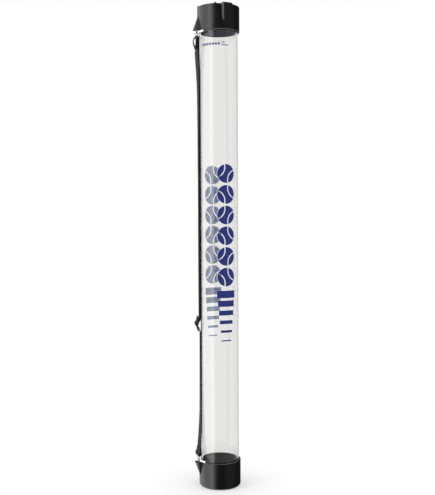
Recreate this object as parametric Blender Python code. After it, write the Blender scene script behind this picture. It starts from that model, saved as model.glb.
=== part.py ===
"""Clear tube that picks up and carries tennis balls, with black end caps and a clip-on webbing strap.

The tube stands on its base cap. Its axis is Z, the middle of the base is the origin, and the strap
runs down the -X side. Pressed down over a ball, the three springy petals of the mouth collar part,
let the ball in and hold it. Lengths are in metres and angles in degrees.
"""
import math

import bmesh
import bpy
import numpy as np
from mathutils import Matrix, Vector

# Tube
TUBE_DIAMETER = 0.076
TUBE_WALL = 0.002
TUBE_LENGTH = 0.913

# Clearance between pieces that touch or rest on each other
FIT_GAP = 0.0003

# Caps: both fit over the tube with one wall thickness
CAP_WALL = 0.00345
RIM_CHAMFER = 0.0008
BASE_FLOOR = 0.004
BASE_HEIGHT = 0.0525
BASE_EDGE_RADIUS = 0.005
COLLAR_SKIRT = 0.0127
COLLAR_LEDGE = 0.004

# Springy petals of the mouth
PETAL_COUNT = 3
PETAL_HEIGHT = 0.0314
PETAL_WALL = 0.0033
BEAD_REACH = 0.0069
BEAD_HEIGHT = 0.0195
BEAD_TIP_RADIUS = 0.0014
BEAD_ROOT_HEIGHT = 0.0085
LEAD_IN_WALL = 0.0034
LOBE_RISE = 0.0025
LOBE_ARC = 25.0
LOBE_RAMP = 1.5
PEAK_RISE = 0.0016
PEAK_ARC = 5.0
SLIT_FLARE = 5.6
SLIT_GAP = 0.0006
SLIT_TOP_ARC = 21.3
REBATE_DEPTH = 0.0021
FIRST_SLIT_AZIMUTH = -2.5

# Lugs: a hollow ramp on each cap, with a pierced web inside that the hook holds
LUG_SETBACK = 0.003
LUG_LENGTH = 0.028
LUG_HALF_WIDTH = 0.012
LUG_SHOULDER_HALF_WIDTH = 0.0095
LUG_SHOULDER_RISE = 0.0063
LUG_CREST_HALF_WIDTH = 0.006
LUG_RISE = 0.0098
LUG_WALL = 0.0018
LUG_ROOT_COVER = 0.0007
LUG_TIP_SHARE = 0.05
LUG_HOLLOW_TIP_SHARE = 0.36
WEB_HALF_THICKNESS = 0.0015
WEB_SETBACK = 0.0006
WEB_LENGTH = 0.0125
WEB_EYE_LENGTH = 0.0052
WEB_EYE_WIDTH = 0.0046

# Snap hooks
HOOK_STAND_OFF = 0.00325
HOOK_ROD_RADIUS = 0.0015
HOOK_HALF_SPAN = 0.0052
HOOK_BEND_CENTRE = -0.004
HOOK_NOSE_TOP = -0.0026
BLOCK_BOTTOM = 0.0022
BLOCK_HEIGHT = 0.0034
BLOCK_FAR_SIDE = 0.0066
BLOCK_NEAR_SIDE = 0.0064
BLOCK_HALF_DEPTH = 0.0026
BLOCK_BEVEL = 0.0005
PIVOT_OFFSET = 0.0046
PIN_RADIUS = 0.0008
GATE_SHEET = 0.0008
GATE_RUNNING_GAP = 0.0012
GATE_TONGUE_DEPTH = 0.0016
GATE_TONGUE_OVERLAP = 0.00105
GATE_TONGUE_SLANT = 0.0011
GATE_TONGUE_CLEARANCE = 0.0009
LEVER_REACH = 0.0225
LEVER_HEIGHT = 0.0042
LEVER_DROP = 0.0012
LEVER_THICKNESS = 0.0012
LEVER_CURVE = 1.6
LEVER_TIP_LOSS = 0.25
LEVER_CAP_GAP = 0.0018
SPRING_WIRE_RADIUS = 0.00024
SPRING_RADIUS = 0.0015
SPRING_TURNS = 2
SPRING_PITCH = 0.00062

# Swivel eyes that hold the webbing
POST_RADIUS = 0.0015
POST_HEAD_RADIUS = 0.0023
POST_HEAD_HEIGHT = 0.001
EYE_ROD_RADIUS = 0.0013
EYE_CORNER_RADIUS = 0.0022

# Webbing strap
STRAP_WIDTH = 0.025
STRAP_THICKNESS = 0.0014
STRAP_LAYER_GAP = 0.0003
STRAP_END_STAND_OFF = 0.0045
SEWN_END_LENGTH = 0.0165
UPPER_LOOP_LENGTH = 0.026
UPPER_LOOP_BOW = 0.0066
UPPER_LOOP_TURN = 16.0

# Slider
SLIDER_HEIGHT = 0.328
SLIDER_BAR_SPACING = 0.012
SLIDER_BAR_RADIUS = 0.0014
SLIDER_RAIL_WIDTH = 0.0028
SLIDER_RAIL_DEPTH = 0.0032
SLIDER_END_STAND_OFF = 0.0054
SLIDER_ARCH = 0.0018
WOVEN_HALF_LENGTH = 0.019

# Fineness of the round shapes
TUBE_SIDES = 72
ROD_SIDES = 10

# Values that follow from the sizes above
TUBE_RADIUS = TUBE_DIAMETER / 2
TUBE_BORE_RADIUS = TUBE_RADIUS - TUBE_WALL
CAP_BORE_RADIUS = TUBE_RADIUS + FIT_GAP
CAP_RADIUS = CAP_BORE_RADIUS + CAP_WALL
TUBE_BOTTOM = BASE_FLOOR + FIT_GAP
TUBE_TOP = TUBE_BOTTOM + TUBE_LENGTH
LEDGE_BOTTOM = TUBE_TOP + FIT_GAP
COLLAR_TOP = LEDGE_BOTTOM + COLLAR_LEDGE
COLLAR_BOTTOM = LEDGE_BOTTOM - COLLAR_SKIRT
PETAL_BOTTOM = COLLAR_TOP + FIT_GAP
PETAL_TOP = PETAL_BOTTOM + PETAL_HEIGHT
PETAL_PITCH = 360.0 / PETAL_COUNT
PETAL_INNER_RADIUS = CAP_RADIUS - PETAL_WALL
SLIT_ROOT_ARC = SLIT_FLARE + math.degrees(SLIT_GAP / PETAL_INNER_RADIUS)
PETAL_ARC = PETAL_PITCH - SLIT_ROOT_ARC
HOOK_RADIAL = CAP_RADIUS + HOOK_STAND_OFF
BLOCK_TOP = BLOCK_BOTTOM + BLOCK_HEIGHT
PIVOT_HEIGHT = BLOCK_BOTTOM + BLOCK_HEIGHT / 2
EAR_INNER_FACE = BLOCK_HALF_DEPTH + FIT_GAP
EAR_OUTER_FACE = EAR_INNER_FACE + GATE_SHEET
GATE_INNER_FACE = BLOCK_NEAR_SIDE + GATE_RUNNING_GAP
GATE_OUTER_FACE = GATE_INNER_FACE + GATE_SHEET
EYE_RAIL = BLOCK_TOP + FIT_GAP + EYE_ROD_RADIUS
WEBBING_BEND = EYE_ROD_RADIUS + FIT_GAP + STRAP_THICKNESS / 2
EYE_BAR = EYE_RAIL + EYE_ROD_RADIUS + FIT_GAP + WEBBING_BEND + STRAP_THICKNESS / 2
EYE_HALF_SPAN = STRAP_WIDTH / 2 + FIT_GAP + EYE_ROD_RADIUS
INNER_STRAND = FIT_GAP + STRAP_THICKNESS / 2
OUTER_STRAND = INNER_STRAND + STRAP_THICKNESS + STRAP_LAYER_GAP

# The strap's lie along the tube, chosen by hand: share of the way from the base cap's rim to the
# collar's rim, how far it has slipped round the tube away from the lugs (degrees), and the share
# it keeps of the distance that the clips hold it off the tube
STRAP_LIE = [
    (0.033, 0.0, 0.95), (0.062, 4.2, 0.50), (0.090, 6.0, 0.16), (0.118, 7.4, 0.0),
    (0.146, 9.5, 0.0), (0.203, 12.2, 0.0), (0.259, 13.6, 0.0), (0.300, 13.6, 0.0),
    (0.346, 13.6, 0.0), (0.429, 12.4, 0.0), (0.542, 12.2, 0.0), (0.598, 13.4, 0.0),
    (0.654, 13.2, 0.0), (0.711, 12.0, 0.0), (0.767, 11.2, 0.0), (0.824, 9.4, 0.0),
    (0.852, 8.6, 0.02), (0.880, 7.0, 0.12), (0.909, 4.6, 0.36), (0.937, 1.8, 0.70),
    (0.955, 0.0, 0.95),
]


def clear_scene():
    """Removes what the file holds before the model is built."""
    for old in list(bpy.data.objects):
        bpy.data.objects.remove(old, do_unlink=True)


def plain_material(name, colour, roughness, metallic=0.0, alpha=1.0):
    """Principled material with one colour."""
    material = bpy.data.materials.new(name)
    material.use_nodes = True
    shader = material.node_tree.nodes["Principled BSDF"]
    shader.inputs["Base Color"].default_value = (*colour, 1.0)
    shader.inputs["Roughness"].default_value = roughness
    shader.inputs["Metallic"].default_value = metallic
    shader.inputs["Alpha"].default_value = alpha
    return material


def add_object(name, bm, material, origin=(0.0, 0.0, 0.0), smooth_angle=35.0):
    """Turns a bmesh in world coordinates into an object whose origin lies at the given point."""
    bmesh.ops.remove_doubles(bm, verts=bm.verts[:], dist=1e-6)
    bmesh.ops.recalc_face_normals(bm, faces=bm.faces[:])
    bmesh.ops.translate(bm, verts=bm.verts[:], vec=-Vector(origin))
    mesh = bpy.data.meshes.new(name)
    bm.to_mesh(mesh)
    bm.free()
    mesh.materials.append(material)
    mesh.shade_smooth()
    mesh.set_sharp_from_angle(angle=math.radians(smooth_angle))
    shape = bpy.data.objects.new(name, mesh)
    shape.location = origin
    bpy.context.scene.collection.objects.link(shape)
    return shape


def add_guide(name, bm):
    """Shape that only cuts or completes another object."""
    guide = add_object(name, bm, MATERIALS["guide"])
    guide.hide_render = True
    guide.display_type = 'WIRE'
    return guide


def combine(target, guide, operation):
    """Boolean of one guide on an object: 'UNION' or 'DIFFERENCE'."""
    modifier = target.modifiers.new(guide.name, 'BOOLEAN')
    modifier.operation = operation
    modifier.solver = 'EXACT'
    modifier.object = guide


def turned(profile, sides=TUBE_SIDES):
    """Spins a closed outline of (radius, height) points round the Z axis."""
    bm = bmesh.new()
    corners = [bm.verts.new((radius, 0.0, height)) for radius, height in profile]
    edges = [bm.edges.new((corners[i - 1], corners[i])) for i in range(len(corners))]
    bmesh.ops.spin(bm, geom=corners + edges, cent=(0, 0, 0), axis=(0, 0, 1),
                   angle=math.tau, steps=sides, use_merge=True)
    return bm


def lofted(rings, closed=False):
    """Skin over rings with equal numbers of points; the ends are filled unless the path closes."""
    bm = bmesh.new()
    loops = [[bm.verts.new(point) for point in ring] for ring in rings]
    last = len(loops) if closed else len(loops) - 1
    count = len(loops[0])
    for i in range(last):
        here, there = loops[i], loops[(i + 1) % len(loops)]
        for j in range(count):
            k = (j + 1) % count
            bm.faces.new((here[j], here[k], there[k], there[j]))
    if not closed:
        bm.faces.new(loops[0])
        bm.faces.new(loops[-1])
    return bm


def extruded(outline, placed, near, far):
    """Prism between two depths; placed(a, b, depth) turns outline points into world points."""
    return lofted([[placed(a, b, depth) for a, b in outline] for depth in (near, far)])


def rod_rings(path, radius, side_axis, closed=False, sides=ROD_SIDES):
    """Round sections along a flat path whose plane has the normal side_axis."""
    side_axis = Vector(side_axis).normalized()
    points = [Vector(point) for point in path]
    count = len(points)
    rings = []
    for i, point in enumerate(points):
        before = points[(i - 1) % count] if closed or i > 0 else point
        after = points[(i + 1) % count] if closed or i < count - 1 else point
        along = (after - before).normalized()
        across = along.cross(side_axis).normalized()
        rings.append([point + radius * (math.cos(turn) * across + math.sin(turn) * side_axis)
                      for turn in np.linspace(0, math.tau, sides, endpoint=False)])
    return rings


def cylinder(centre, axis, radius, length, sides=24):
    """Round bar centred on a point."""
    bm = bmesh.new()
    bmesh.ops.create_cone(bm, cap_ends=True, segments=sides, radius1=radius, radius2=radius, depth=length)
    turn = Vector((0, 0, 1)).rotation_difference(Vector(axis)).to_matrix().to_4x4()
    bmesh.ops.transform(bm, matrix=Matrix.Translation(centre) @ turn, verts=bm.verts[:])
    return bm


def box_between(low, high, bevel=0.0):
    """Block between two corners, its edges eased when a bevel width is given."""
    bm = bmesh.new()
    bmesh.ops.create_cube(bm, size=1.0)
    low, high = Vector(low), Vector(high)
    size = high - low
    bmesh.ops.scale(bm, vec=[abs(value) for value in size], verts=bm.verts[:])
    bmesh.ops.translate(bm, vec=(low + high) / 2, verts=bm.verts[:])
    if bevel:
        bmesh.ops.bevel(bm, geom=bm.edges[:], offset=bevel, segments=1, affect='EDGES')
    return bm


def arc(centre, radius, start, end, steps):
    """Points on a circle in a plane, between two angles in degrees."""
    return [(centre[0] + radius * math.cos(math.radians(angle)),
             centre[1] + radius * math.sin(math.radians(angle)))
            for angle in np.linspace(start, end, steps + 1)]


# Tube

def make_tube():
    """Clear extruded tube, open at both ends."""
    profile = [(TUBE_RADIUS, TUBE_TOP), (TUBE_RADIUS, TUBE_BOTTOM),
               (TUBE_BORE_RADIUS, TUBE_BOTTOM), (TUBE_BORE_RADIUS, TUBE_TOP)]
    return add_object("tube", turned(profile), MATERIALS["clear_plastic"])


# Caps and their lugs

def lug_ring(share, rim, up, outer):
    """Section of a lug across the cap. share is 1 at the wide end and 0 at the tip."""
    wall = 0.0 if outer else LUG_WALL
    root = CAP_BORE_RADIUS + LUG_ROOT_COVER if outer else CAP_BORE_RADIUS - FIT_GAP
    half = [(LUG_HALF_WIDTH * share - wall, root),
            (LUG_SHOULDER_HALF_WIDTH * share - wall, CAP_RADIUS + LUG_SHOULDER_RISE * share - wall / 2),
            (LUG_CREST_HALF_WIDTH * share - wall / 2, CAP_RADIUS + LUG_RISE * share - wall)]
    outline = half + [(-across, radial) for across, radial in reversed(half)]
    level = rim - up * (LUG_SETBACK + LUG_LENGTH * (1 - share))
    return [(-radial, -across, level) for across, radial in outline]


def lug_share(distance):
    """Share of a lug's full section that is left at a distance from the cap's rim."""
    return min(1.0, max(LUG_TIP_SHARE, 1 - (distance - LUG_SETBACK) / LUG_LENGTH))


def add_lug(cap, prefix, rim, up, cap_length):
    """Hollow ramp with a pierced web inside, moulded onto the -X side of a cap."""
    tip = lug_share(cap_length)
    mouth = 1.0 + LUG_SETBACK / LUG_LENGTH / 2
    hollow_tip = max(LUG_HOLLOW_TIP_SHARE, tip + LUG_WALL / LUG_LENGTH)
    shell = add_guide(prefix + "_lug_shell",
                      lofted([lug_ring(1.0, rim, up, True), lug_ring(tip, rim, up, True)]))
    hollow = add_guide(prefix + "_lug_hollow",
                       lofted([lug_ring(mouth, rim, up, False), lug_ring(hollow_tip, rim, up, False)]))
    combine(shell, hollow, 'DIFFERENCE')
    combine(cap, shell, 'UNION')

    def placed(along, radial, across):
        return Vector((-radial, -across, rim - up * (LUG_SETBACK + along)))

    def crest(along):
        return CAP_RADIUS + LUG_RISE * (1 - along / LUG_LENGTH) - LUG_WALL / 2

    root = CAP_BORE_RADIUS + CAP_WALL / 2
    outline = [(WEB_SETBACK, root), (WEB_SETBACK, crest(WEB_SETBACK)),
               (WEB_LENGTH, crest(WEB_LENGTH)), (WEB_LENGTH, root)]
    web = add_guide(prefix + "_lug_web",
                    extruded(outline, placed, -WEB_HALF_THICKNESS, WEB_HALF_THICKNESS))
    bend_inside = HOOK_HALF_SPAN - HOOK_ROD_RADIUS
    seat = HOOK_BEND_CENTRE - math.sqrt(bend_inside ** 2 - WEB_HALF_THICKNESS ** 2) + FIT_GAP
    eye_centre = -seat - LUG_SETBACK + WEB_EYE_LENGTH / 2
    eye = [(eye_centre + WEB_EYE_LENGTH / 2 * math.cos(turn),
            HOOK_RADIAL + WEB_EYE_WIDTH / 2 * math.sin(turn))
           for turn in np.linspace(0, math.tau, 16, endpoint=False)]
    hole = add_guide(prefix + "_lug_eye",
                     extruded(eye, placed, -2 * WEB_HALF_THICKNESS, 2 * WEB_HALF_THICKNESS))
    combine(web, hole, 'DIFFERENCE')
    combine(cap, web, 'UNION')


def make_base_cap():
    """Closed cup on the foot of the tube, with a rounded lower edge."""
    corner = arc((CAP_RADIUS - BASE_EDGE_RADIUS, BASE_EDGE_RADIUS), BASE_EDGE_RADIUS, 0, -90, 6)
    bore = [(CAP_BORE_RADIUS, BASE_FLOOR), (CAP_BORE_RADIUS, BASE_HEIGHT)]
    rim = [(CAP_RADIUS - RIM_CHAMFER, BASE_HEIGHT), (CAP_RADIUS, BASE_HEIGHT - RIM_CHAMFER)]
    profile = rim + corner + [(0.0, 0.0), (0.0, BASE_FLOOR)] + bore
    cap = add_object("base_cap", turned(profile), MATERIALS["black_plastic"])
    add_lug(cap, "lower", BASE_HEIGHT, 1, BASE_HEIGHT)
    return cap


def make_mouth_collar():
    """Ring glued on the top of the tube; its ledge stops the tube and carries the petals."""
    profile = [(CAP_RADIUS, COLLAR_TOP), (CAP_RADIUS, COLLAR_BOTTOM + RIM_CHAMFER),
               (CAP_RADIUS - RIM_CHAMFER, COLLAR_BOTTOM), (CAP_BORE_RADIUS, COLLAR_BOTTOM),
               (CAP_BORE_RADIUS, LEDGE_BOTTOM), (TUBE_BORE_RADIUS, LEDGE_BOTTOM),
               (TUBE_BORE_RADIUS, COLLAR_TOP)]
    collar = add_object("mouth_collar", turned(profile), MATERIALS["black_plastic"])
    add_lug(collar, "upper", COLLAR_BOTTOM, -1, COLLAR_TOP - COLLAR_BOTTOM)
    return collar


# Petals

def petal_section():
    """Radius and height of the petal's wall, with the rounded bead that holds the balls."""
    inner = PETAL_INNER_RADIUS
    tip = (inner - BEAD_REACH + BEAD_TIP_RADIUS, PETAL_BOTTOM + BEAD_HEIGHT)
    bead = arc(tip, BEAD_TIP_RADIUS, 125, 235, 4)
    return ([(CAP_RADIUS, PETAL_BOTTOM), (CAP_RADIUS, PETAL_TOP - RIM_CHAMFER),
             (CAP_RADIUS - RIM_CHAMFER, PETAL_TOP), (CAP_RADIUS - LEAD_IN_WALL, PETAL_TOP)]
            + bead + [(inner, PETAL_BOTTOM + BEAD_ROOT_HEIGHT), (inner, PETAL_BOTTOM)])


def lobe_rise(station):
    """Height of the rim above its plain level: a lobe at the upright edge, a peak at the slanted one."""
    peak = PETAL_PITCH - SLIT_TOP_ARC
    edges = [(LOBE_ARC, LOBE_RISE), (LOBE_ARC + LOBE_RAMP, 0.0), (peak - PEAK_ARC - LOBE_RAMP, 0.0),
             (peak - PEAK_ARC, PEAK_RISE), (peak, PEAK_RISE), (peak + LOBE_RAMP, 0.0)]
    return float(np.interp(station, [edge[0] for edge in edges], [edge[1] for edge in edges]))


def petal_rings(start):
    """Sections round a petal. Its upright edge leans back through the wall by the slit's flare."""
    peak = PETAL_PITCH - SLIT_TOP_ARC
    stations = sorted([*np.linspace(0, LOBE_ARC, 6),
                       *np.linspace(LOBE_ARC + LOBE_RAMP, peak - PEAK_ARC - LOBE_RAMP, 13),
                       peak - PEAK_ARC, peak, peak + LOBE_RAMP, *np.linspace(peak + 5, PETAL_ARC, 3)])
    rings = []
    for station in stations:
        ring = []
        for radius, height in petal_section():
            depth = min((CAP_RADIUS - radius) / PETAL_WALL, 1.0)
            lead = -SLIT_FLARE * depth * (1 - station / PETAL_ARC)
            azimuth = math.radians(start + station + lead)
            rise = lobe_rise(station) if height > PETAL_TOP - 2 * RIM_CHAMFER else 0.0
            ring.append((radius * math.sin(azimuth), -radius * math.cos(azimuth), height + rise))
        rings.append(ring)
    return rings


def rebate_rings(start):
    """Cutter that takes the outer layer off beside the slit, from a slanted edge to past the end."""
    top = PETAL_TOP + 2 * LOBE_RISE
    corners = [(CAP_RADIUS - REBATE_DEPTH, PETAL_BOTTOM), (CAP_RADIUS + REBATE_DEPTH, PETAL_BOTTOM),
               (CAP_RADIUS + REBATE_DEPTH, top), (CAP_RADIUS - REBATE_DEPTH, top)]
    rings = []
    for share in np.linspace(0, 1, 9):
        ring = []
        for radius, height in corners:
            climb = (height - PETAL_BOTTOM) / PETAL_HEIGHT
            slanted = PETAL_ARC - (SLIT_TOP_ARC - SLIT_ROOT_ARC) * climb
            azimuth = math.radians(start + slanted + (PETAL_ARC + SLIT_ROOT_ARC / 2 - slanted) * share)
            ring.append((radius * math.sin(azimuth), -radius * math.cos(azimuth), height))
        rings.append(ring)
    return rings


def make_petals():
    """Three petals, each hinged at its root on a line square to its middle."""
    petals = []
    for index in range(PETAL_COUNT):
        start = FIRST_SLIT_AZIMUTH + PETAL_PITCH * index
        middle = math.radians(start + PETAL_ARC / 2)
        hinge = (CAP_RADIUS * math.sin(middle), -CAP_RADIUS * math.cos(middle), PETAL_BOTTOM)
        petals.append(add_object(f"mouth_petal_{index + 1}", lofted(petal_rings(start)),
                                 MATERIALS["black_plastic"], origin=hinge))
        combine(petals[-1], add_guide(f"rebate_{index + 1}", lofted(rebate_rings(start))), 'DIFFERENCE')
    tip_share = lug_share(PETAL_BOTTOM - COLLAR_BOTTOM)
    if tip_share > LUG_TIP_SHARE:
        rings = [lug_ring(share, COLLAR_BOTTOM, -1, True) for share in (tip_share, LUG_TIP_SHARE)]
        combine(petals[-1], add_guide("upper_lug_tip", lofted(rings)), 'UNION')
    return petals


# Snap hooks

def clip_frame(rim, up):
    """Maps (across, along, out) of a clip to world coordinates.

    across runs round the cap towards the slit side, along runs from the cap's rim towards the
    strap, and out points away from the tube.
    """
    def placed(across, along, out=0.0):
        return Vector((-(HOOK_RADIAL + out), -across, rim + up * along))
    return placed


def make_hook_body(prefix, at):
    """Bent rod with a block at its top that carries the swivel and the gate's pin."""
    bend = arc((0.0, HOOK_BEND_CENTRE), HOOK_HALF_SPAN, 180, 360, 12)
    path = [(-HOOK_HALF_SPAN, BLOCK_BOTTOM + BLOCK_HEIGHT / 2)] + bend + [(HOOK_HALF_SPAN, HOOK_NOSE_TOP)]
    rings = rod_rings([at(a, b) for a, b in path], HOOK_ROD_RADIUS, (1, 0, 0))
    body = add_object(prefix + "_hook_body", lofted(rings), MATERIALS["nickel"])
    block = add_guide(prefix + "_hook_block",
                      box_between(at(-BLOCK_FAR_SIDE, BLOCK_BOTTOM, -BLOCK_HALF_DEPTH),
                                  at(BLOCK_NEAR_SIDE, BLOCK_TOP, BLOCK_HALF_DEPTH), BLOCK_BEVEL))
    bore = add_guide(prefix + "_swivel_bore",
                     cylinder(at(0, PIVOT_HEIGHT), (0, 0, 1), POST_RADIUS + FIT_GAP, 2 * BLOCK_HEIGHT))
    pin_hole = add_guide(prefix + "_pin_hole",
                         cylinder(at(PIVOT_OFFSET, PIVOT_HEIGHT), (1, 0, 0), PIN_RADIUS + FIT_GAP,
                                  3 * BLOCK_HALF_DEPTH, 16))
    pocket_depth = SPRING_TURNS * SPRING_PITCH + 2 * SPRING_WIRE_RADIUS + FIT_GAP
    pocket_radius = SPRING_RADIUS + SPRING_WIRE_RADIUS + FIT_GAP
    pocket = add_guide(prefix + "_spring_pocket",
                       cylinder(at(PIVOT_OFFSET, PIVOT_HEIGHT, BLOCK_HALF_DEPTH), (1, 0, 0),
                                pocket_radius, 2 * pocket_depth, 16))
    combine(body, block, 'UNION')
    for cutter in (bore, pin_hole, pocket):
        combine(body, cutter, 'DIFFERENCE')
    return body


def make_gate(prefix, at):
    """Folded sheet gate with two ears on the pin, a tongue that meets the nose and a thumb lever."""
    pivot = at(PIVOT_OFFSET, PIVOT_HEIGHT)
    ear_start = PIVOT_OFFSET - PIN_RADIUS - GATE_SHEET
    ear_bottom, ear_top = BLOCK_BOTTOM, BLOCK_TOP
    gate = add_object(prefix + "_hook_gate",
                      box_between(at(ear_start, ear_bottom, -EAR_OUTER_FACE),
                                  at(GATE_OUTER_FACE, ear_top, EAR_OUTER_FACE)),
                      MATERIALS["nickel"], origin=pivot)
    slot = add_guide(prefix + "_gate_slot",
                     box_between(at(ear_start - GATE_SHEET, ear_bottom - GATE_SHEET, -EAR_INNER_FACE),
                                 at(GATE_INNER_FACE, ear_top + GATE_SHEET, EAR_INNER_FACE)))
    combine(gate, slot, 'DIFFERENCE')
    tongue_side = HOOK_HALF_SPAN - GATE_TONGUE_OVERLAP
    tongue_bottom = HOOK_NOSE_TOP + FIT_GAP
    tongue_top = BLOCK_BOTTOM - GATE_TONGUE_CLEARANCE
    outline = [(tongue_side, tongue_bottom), (GATE_OUTER_FACE, tongue_bottom + GATE_TONGUE_SLANT),
               (GATE_OUTER_FACE, PIVOT_HEIGHT), (GATE_INNER_FACE, PIVOT_HEIGHT),
               (GATE_INNER_FACE, tongue_top), (tongue_side, tongue_top)]
    tongue = add_guide(prefix + "_gate_tongue",
                       extruded(outline, at, -GATE_TONGUE_DEPTH, GATE_TONGUE_DEPTH))
    combine(gate, tongue, 'UNION')
    combine(gate, add_guide(prefix + "_gate_lever", lofted(lever_rings(at))), 'UNION')
    holes = cylinder(pivot, (1, 0, 0), PIN_RADIUS + FIT_GAP, 3 * EAR_OUTER_FACE, 16)
    combine(gate, add_guide(prefix + "_gate_holes", holes), 'DIFFERENCE')
    return gate


def lever_rings(at):
    """Thumb lever: a tab that leaves the gate and follows the cap's curve just outside it."""
    clear_radius = CAP_RADIUS + LEVER_CAP_GAP + LEVER_THICKNESS / 2
    tip_in = HOOK_RADIAL - math.sqrt(clear_radius ** 2 - LEVER_REACH ** 2)
    start = GATE_OUTER_FACE - GATE_SHEET / 2
    level = BLOCK_TOP - LEVER_HEIGHT / 2
    rings = []
    for share in np.linspace(0, 1, 7):
        across = start + (LEVER_REACH - start) * share
        out = -tip_in * share ** LEVER_CURVE
        slope = -LEVER_CURVE * tip_in * share ** (LEVER_CURVE - 1) / (LEVER_REACH - start)
        normal = Vector((-slope, 1.0)).normalized() * LEVER_THICKNESS / 2
        middle = level - LEVER_DROP * share
        half = LEVER_HEIGHT / 2 * (1.0 - LEVER_TIP_LOSS * share ** 2)
        rings.append([at(across + side * normal.x, middle + lift * half, out + side * normal.y)
                      for side, lift in ((1, 1), (1, -1), (-1, -1), (-1, 1))])
    return rings


def make_gate_pin(prefix, at):
    """Rivet that the gate turns on."""
    length = 2 * (EAR_OUTER_FACE + FIT_GAP)
    return add_object(prefix + "_gate_pin",
                      cylinder(at(PIVOT_OFFSET, PIVOT_HEIGHT), (1, 0, 0), PIN_RADIUS, length, 12),
                      MATERIALS["nickel"])


def make_gate_spring(prefix, at):
    """Small torsion spring round the pin, in a pocket of the block."""
    inner_end = BLOCK_HALF_DEPTH - SPRING_TURNS * SPRING_PITCH - SPRING_WIRE_RADIUS
    steps = 12 * SPRING_TURNS
    rings = []
    for i in range(steps + 1):
        turn = math.tau * i / 12
        out = inner_end + SPRING_PITCH * i / 12
        radial = Vector((0.0, math.cos(turn), math.sin(turn)))
        centre = at(PIVOT_OFFSET, PIVOT_HEIGHT, out) + SPRING_RADIUS * radial
        rings.append([centre + SPRING_WIRE_RADIUS * (math.cos(a) * radial + math.sin(a) * Vector((1, 0, 0)))
                      for a in np.linspace(0, math.tau, 5, endpoint=False)])
    return add_object(prefix + "_gate_spring", lofted(rings), MATERIALS["nickel"])


def make_swivel_eye(prefix, at, origin):
    """Rounded wire ring for the webbing on a headed post that turns in the hook's block."""
    corner = EYE_CORNER_RADIUS
    path = []
    for side, along, inward, first in ((1, EYE_BAR, -corner, 90), (1, EYE_RAIL, corner, 0),
                                       (-1, EYE_RAIL, corner, -90), (-1, EYE_BAR, -corner, 180)):
        centre = (side * (EYE_HALF_SPAN - corner), along + inward)
        path += arc(centre, corner, first, first - 90, 4)
    rings = rod_rings([at(a, b) for a, b in path], EYE_ROD_RADIUS, (1, 0, 0), closed=True)
    eye = add_object(prefix + "_swivel_eye", lofted(rings, closed=True), MATERIALS["nickel"], origin=origin)
    head_middle = BLOCK_BOTTOM - FIT_GAP - POST_HEAD_HEIGHT / 2
    post_length = EYE_RAIL - head_middle
    post = cylinder(at(0, head_middle + post_length / 2), (0, 0, 1), POST_RADIUS, post_length, 16)
    head = cylinder(at(0, head_middle), (0, 0, 1), POST_HEAD_RADIUS, POST_HEAD_HEIGHT, 16)
    combine(eye, add_guide(prefix + "_swivel_post", post), 'UNION')
    combine(eye, add_guide(prefix + "_swivel_head", head), 'UNION')
    return eye


def make_clip(prefix, rim, up):
    """One snap hook with its gate, pin, spring and swivel eye."""
    at = clip_frame(rim, up)
    make_hook_body(prefix, at)
    make_gate(prefix, at)
    make_gate_pin(prefix, at)
    make_gate_spring(prefix, at)
    make_swivel_eye(prefix, at, (-HOOK_RADIAL, 0.0, rim + up * EYE_RAIL))


# Webbing strap

def lie_at(height):
    """Slip round the tube in degrees and stand-off of the strap at one height, on a smooth curve."""
    shares = [row[0] for row in STRAP_LIE]
    share = (height - BASE_HEIGHT) / (COLLAR_BOTTOM - BASE_HEIGHT)
    share = min(max(share, shares[0]), shares[-1])
    i = min(max(int(np.searchsorted(shares, share)) - 1, 0), len(shares) - 2)
    t = (share - shares[i]) / (shares[i + 1] - shares[i])
    ease = t * t * (3 - 2 * t)
    values = []
    for column in (1, 2):
        before, after = STRAP_LIE[i][column], STRAP_LIE[i + 1][column]
        straight = before + (after - before) * t
        eased = before + (after - before) * ease
        values.append((straight + eased) / 2)
    slip, share_off = values
    return slip, share_off * STRAP_END_STAND_OFF


def strap_ring(height, depth, slip, twist=0.0, normal_tilt=0.0):
    """Four corners of the webbing at one height.

    depth is the distance of its middle from the tube's axis, slip its place round the tube,
    twist turns it about its own length, and normal_tilt tips the section towards the path.
    """
    azimuth = math.radians(slip)
    out = Vector((-math.cos(azimuth), math.sin(azimuth), 0.0))
    middle = out * depth + Vector((0, 0, height))
    facing = math.radians(slip + twist)
    width = Vector((math.sin(facing), math.cos(facing), 0.0)) * STRAP_WIDTH / 2
    outward = Vector((-math.cos(facing), math.sin(facing), 0.0))
    tilt = math.radians(normal_tilt)
    face = (outward * math.cos(tilt) + Vector((0, 0, 1)) * math.sin(tilt)) * STRAP_THICKNESS / 2
    return [middle + width + face, middle + width - face, middle - width - face, middle - width + face]


def strand_rings(bottom, top, layer, count):
    """Webbing that lies along the tube between two heights; layer is its depth over the tube."""
    rings = []
    for height in np.linspace(bottom, top, count):
        slip, stand_off = lie_at(height)
        rings.append(strap_ring(height, TUBE_RADIUS + layer + stand_off, slip))
    return rings


def ribbon_rings(path, slip=0.0, twists=None, base=0.0):
    """Webbing along a path of (depth, height) points seen from the side of the tube."""
    rings = []
    last = len(path) - 1
    for i, (depth, height) in enumerate(path):
        before, after = path[max(i - 1, 0)], path[min(i + 1, last)]
        tilt = math.degrees(math.atan2(-(after[0] - before[0]), after[1] - before[1]))
        twist = twists[i] if twists else 0.0
        rings.append(strap_ring(base + height, depth, slip, twist, tilt))
    return rings


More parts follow.
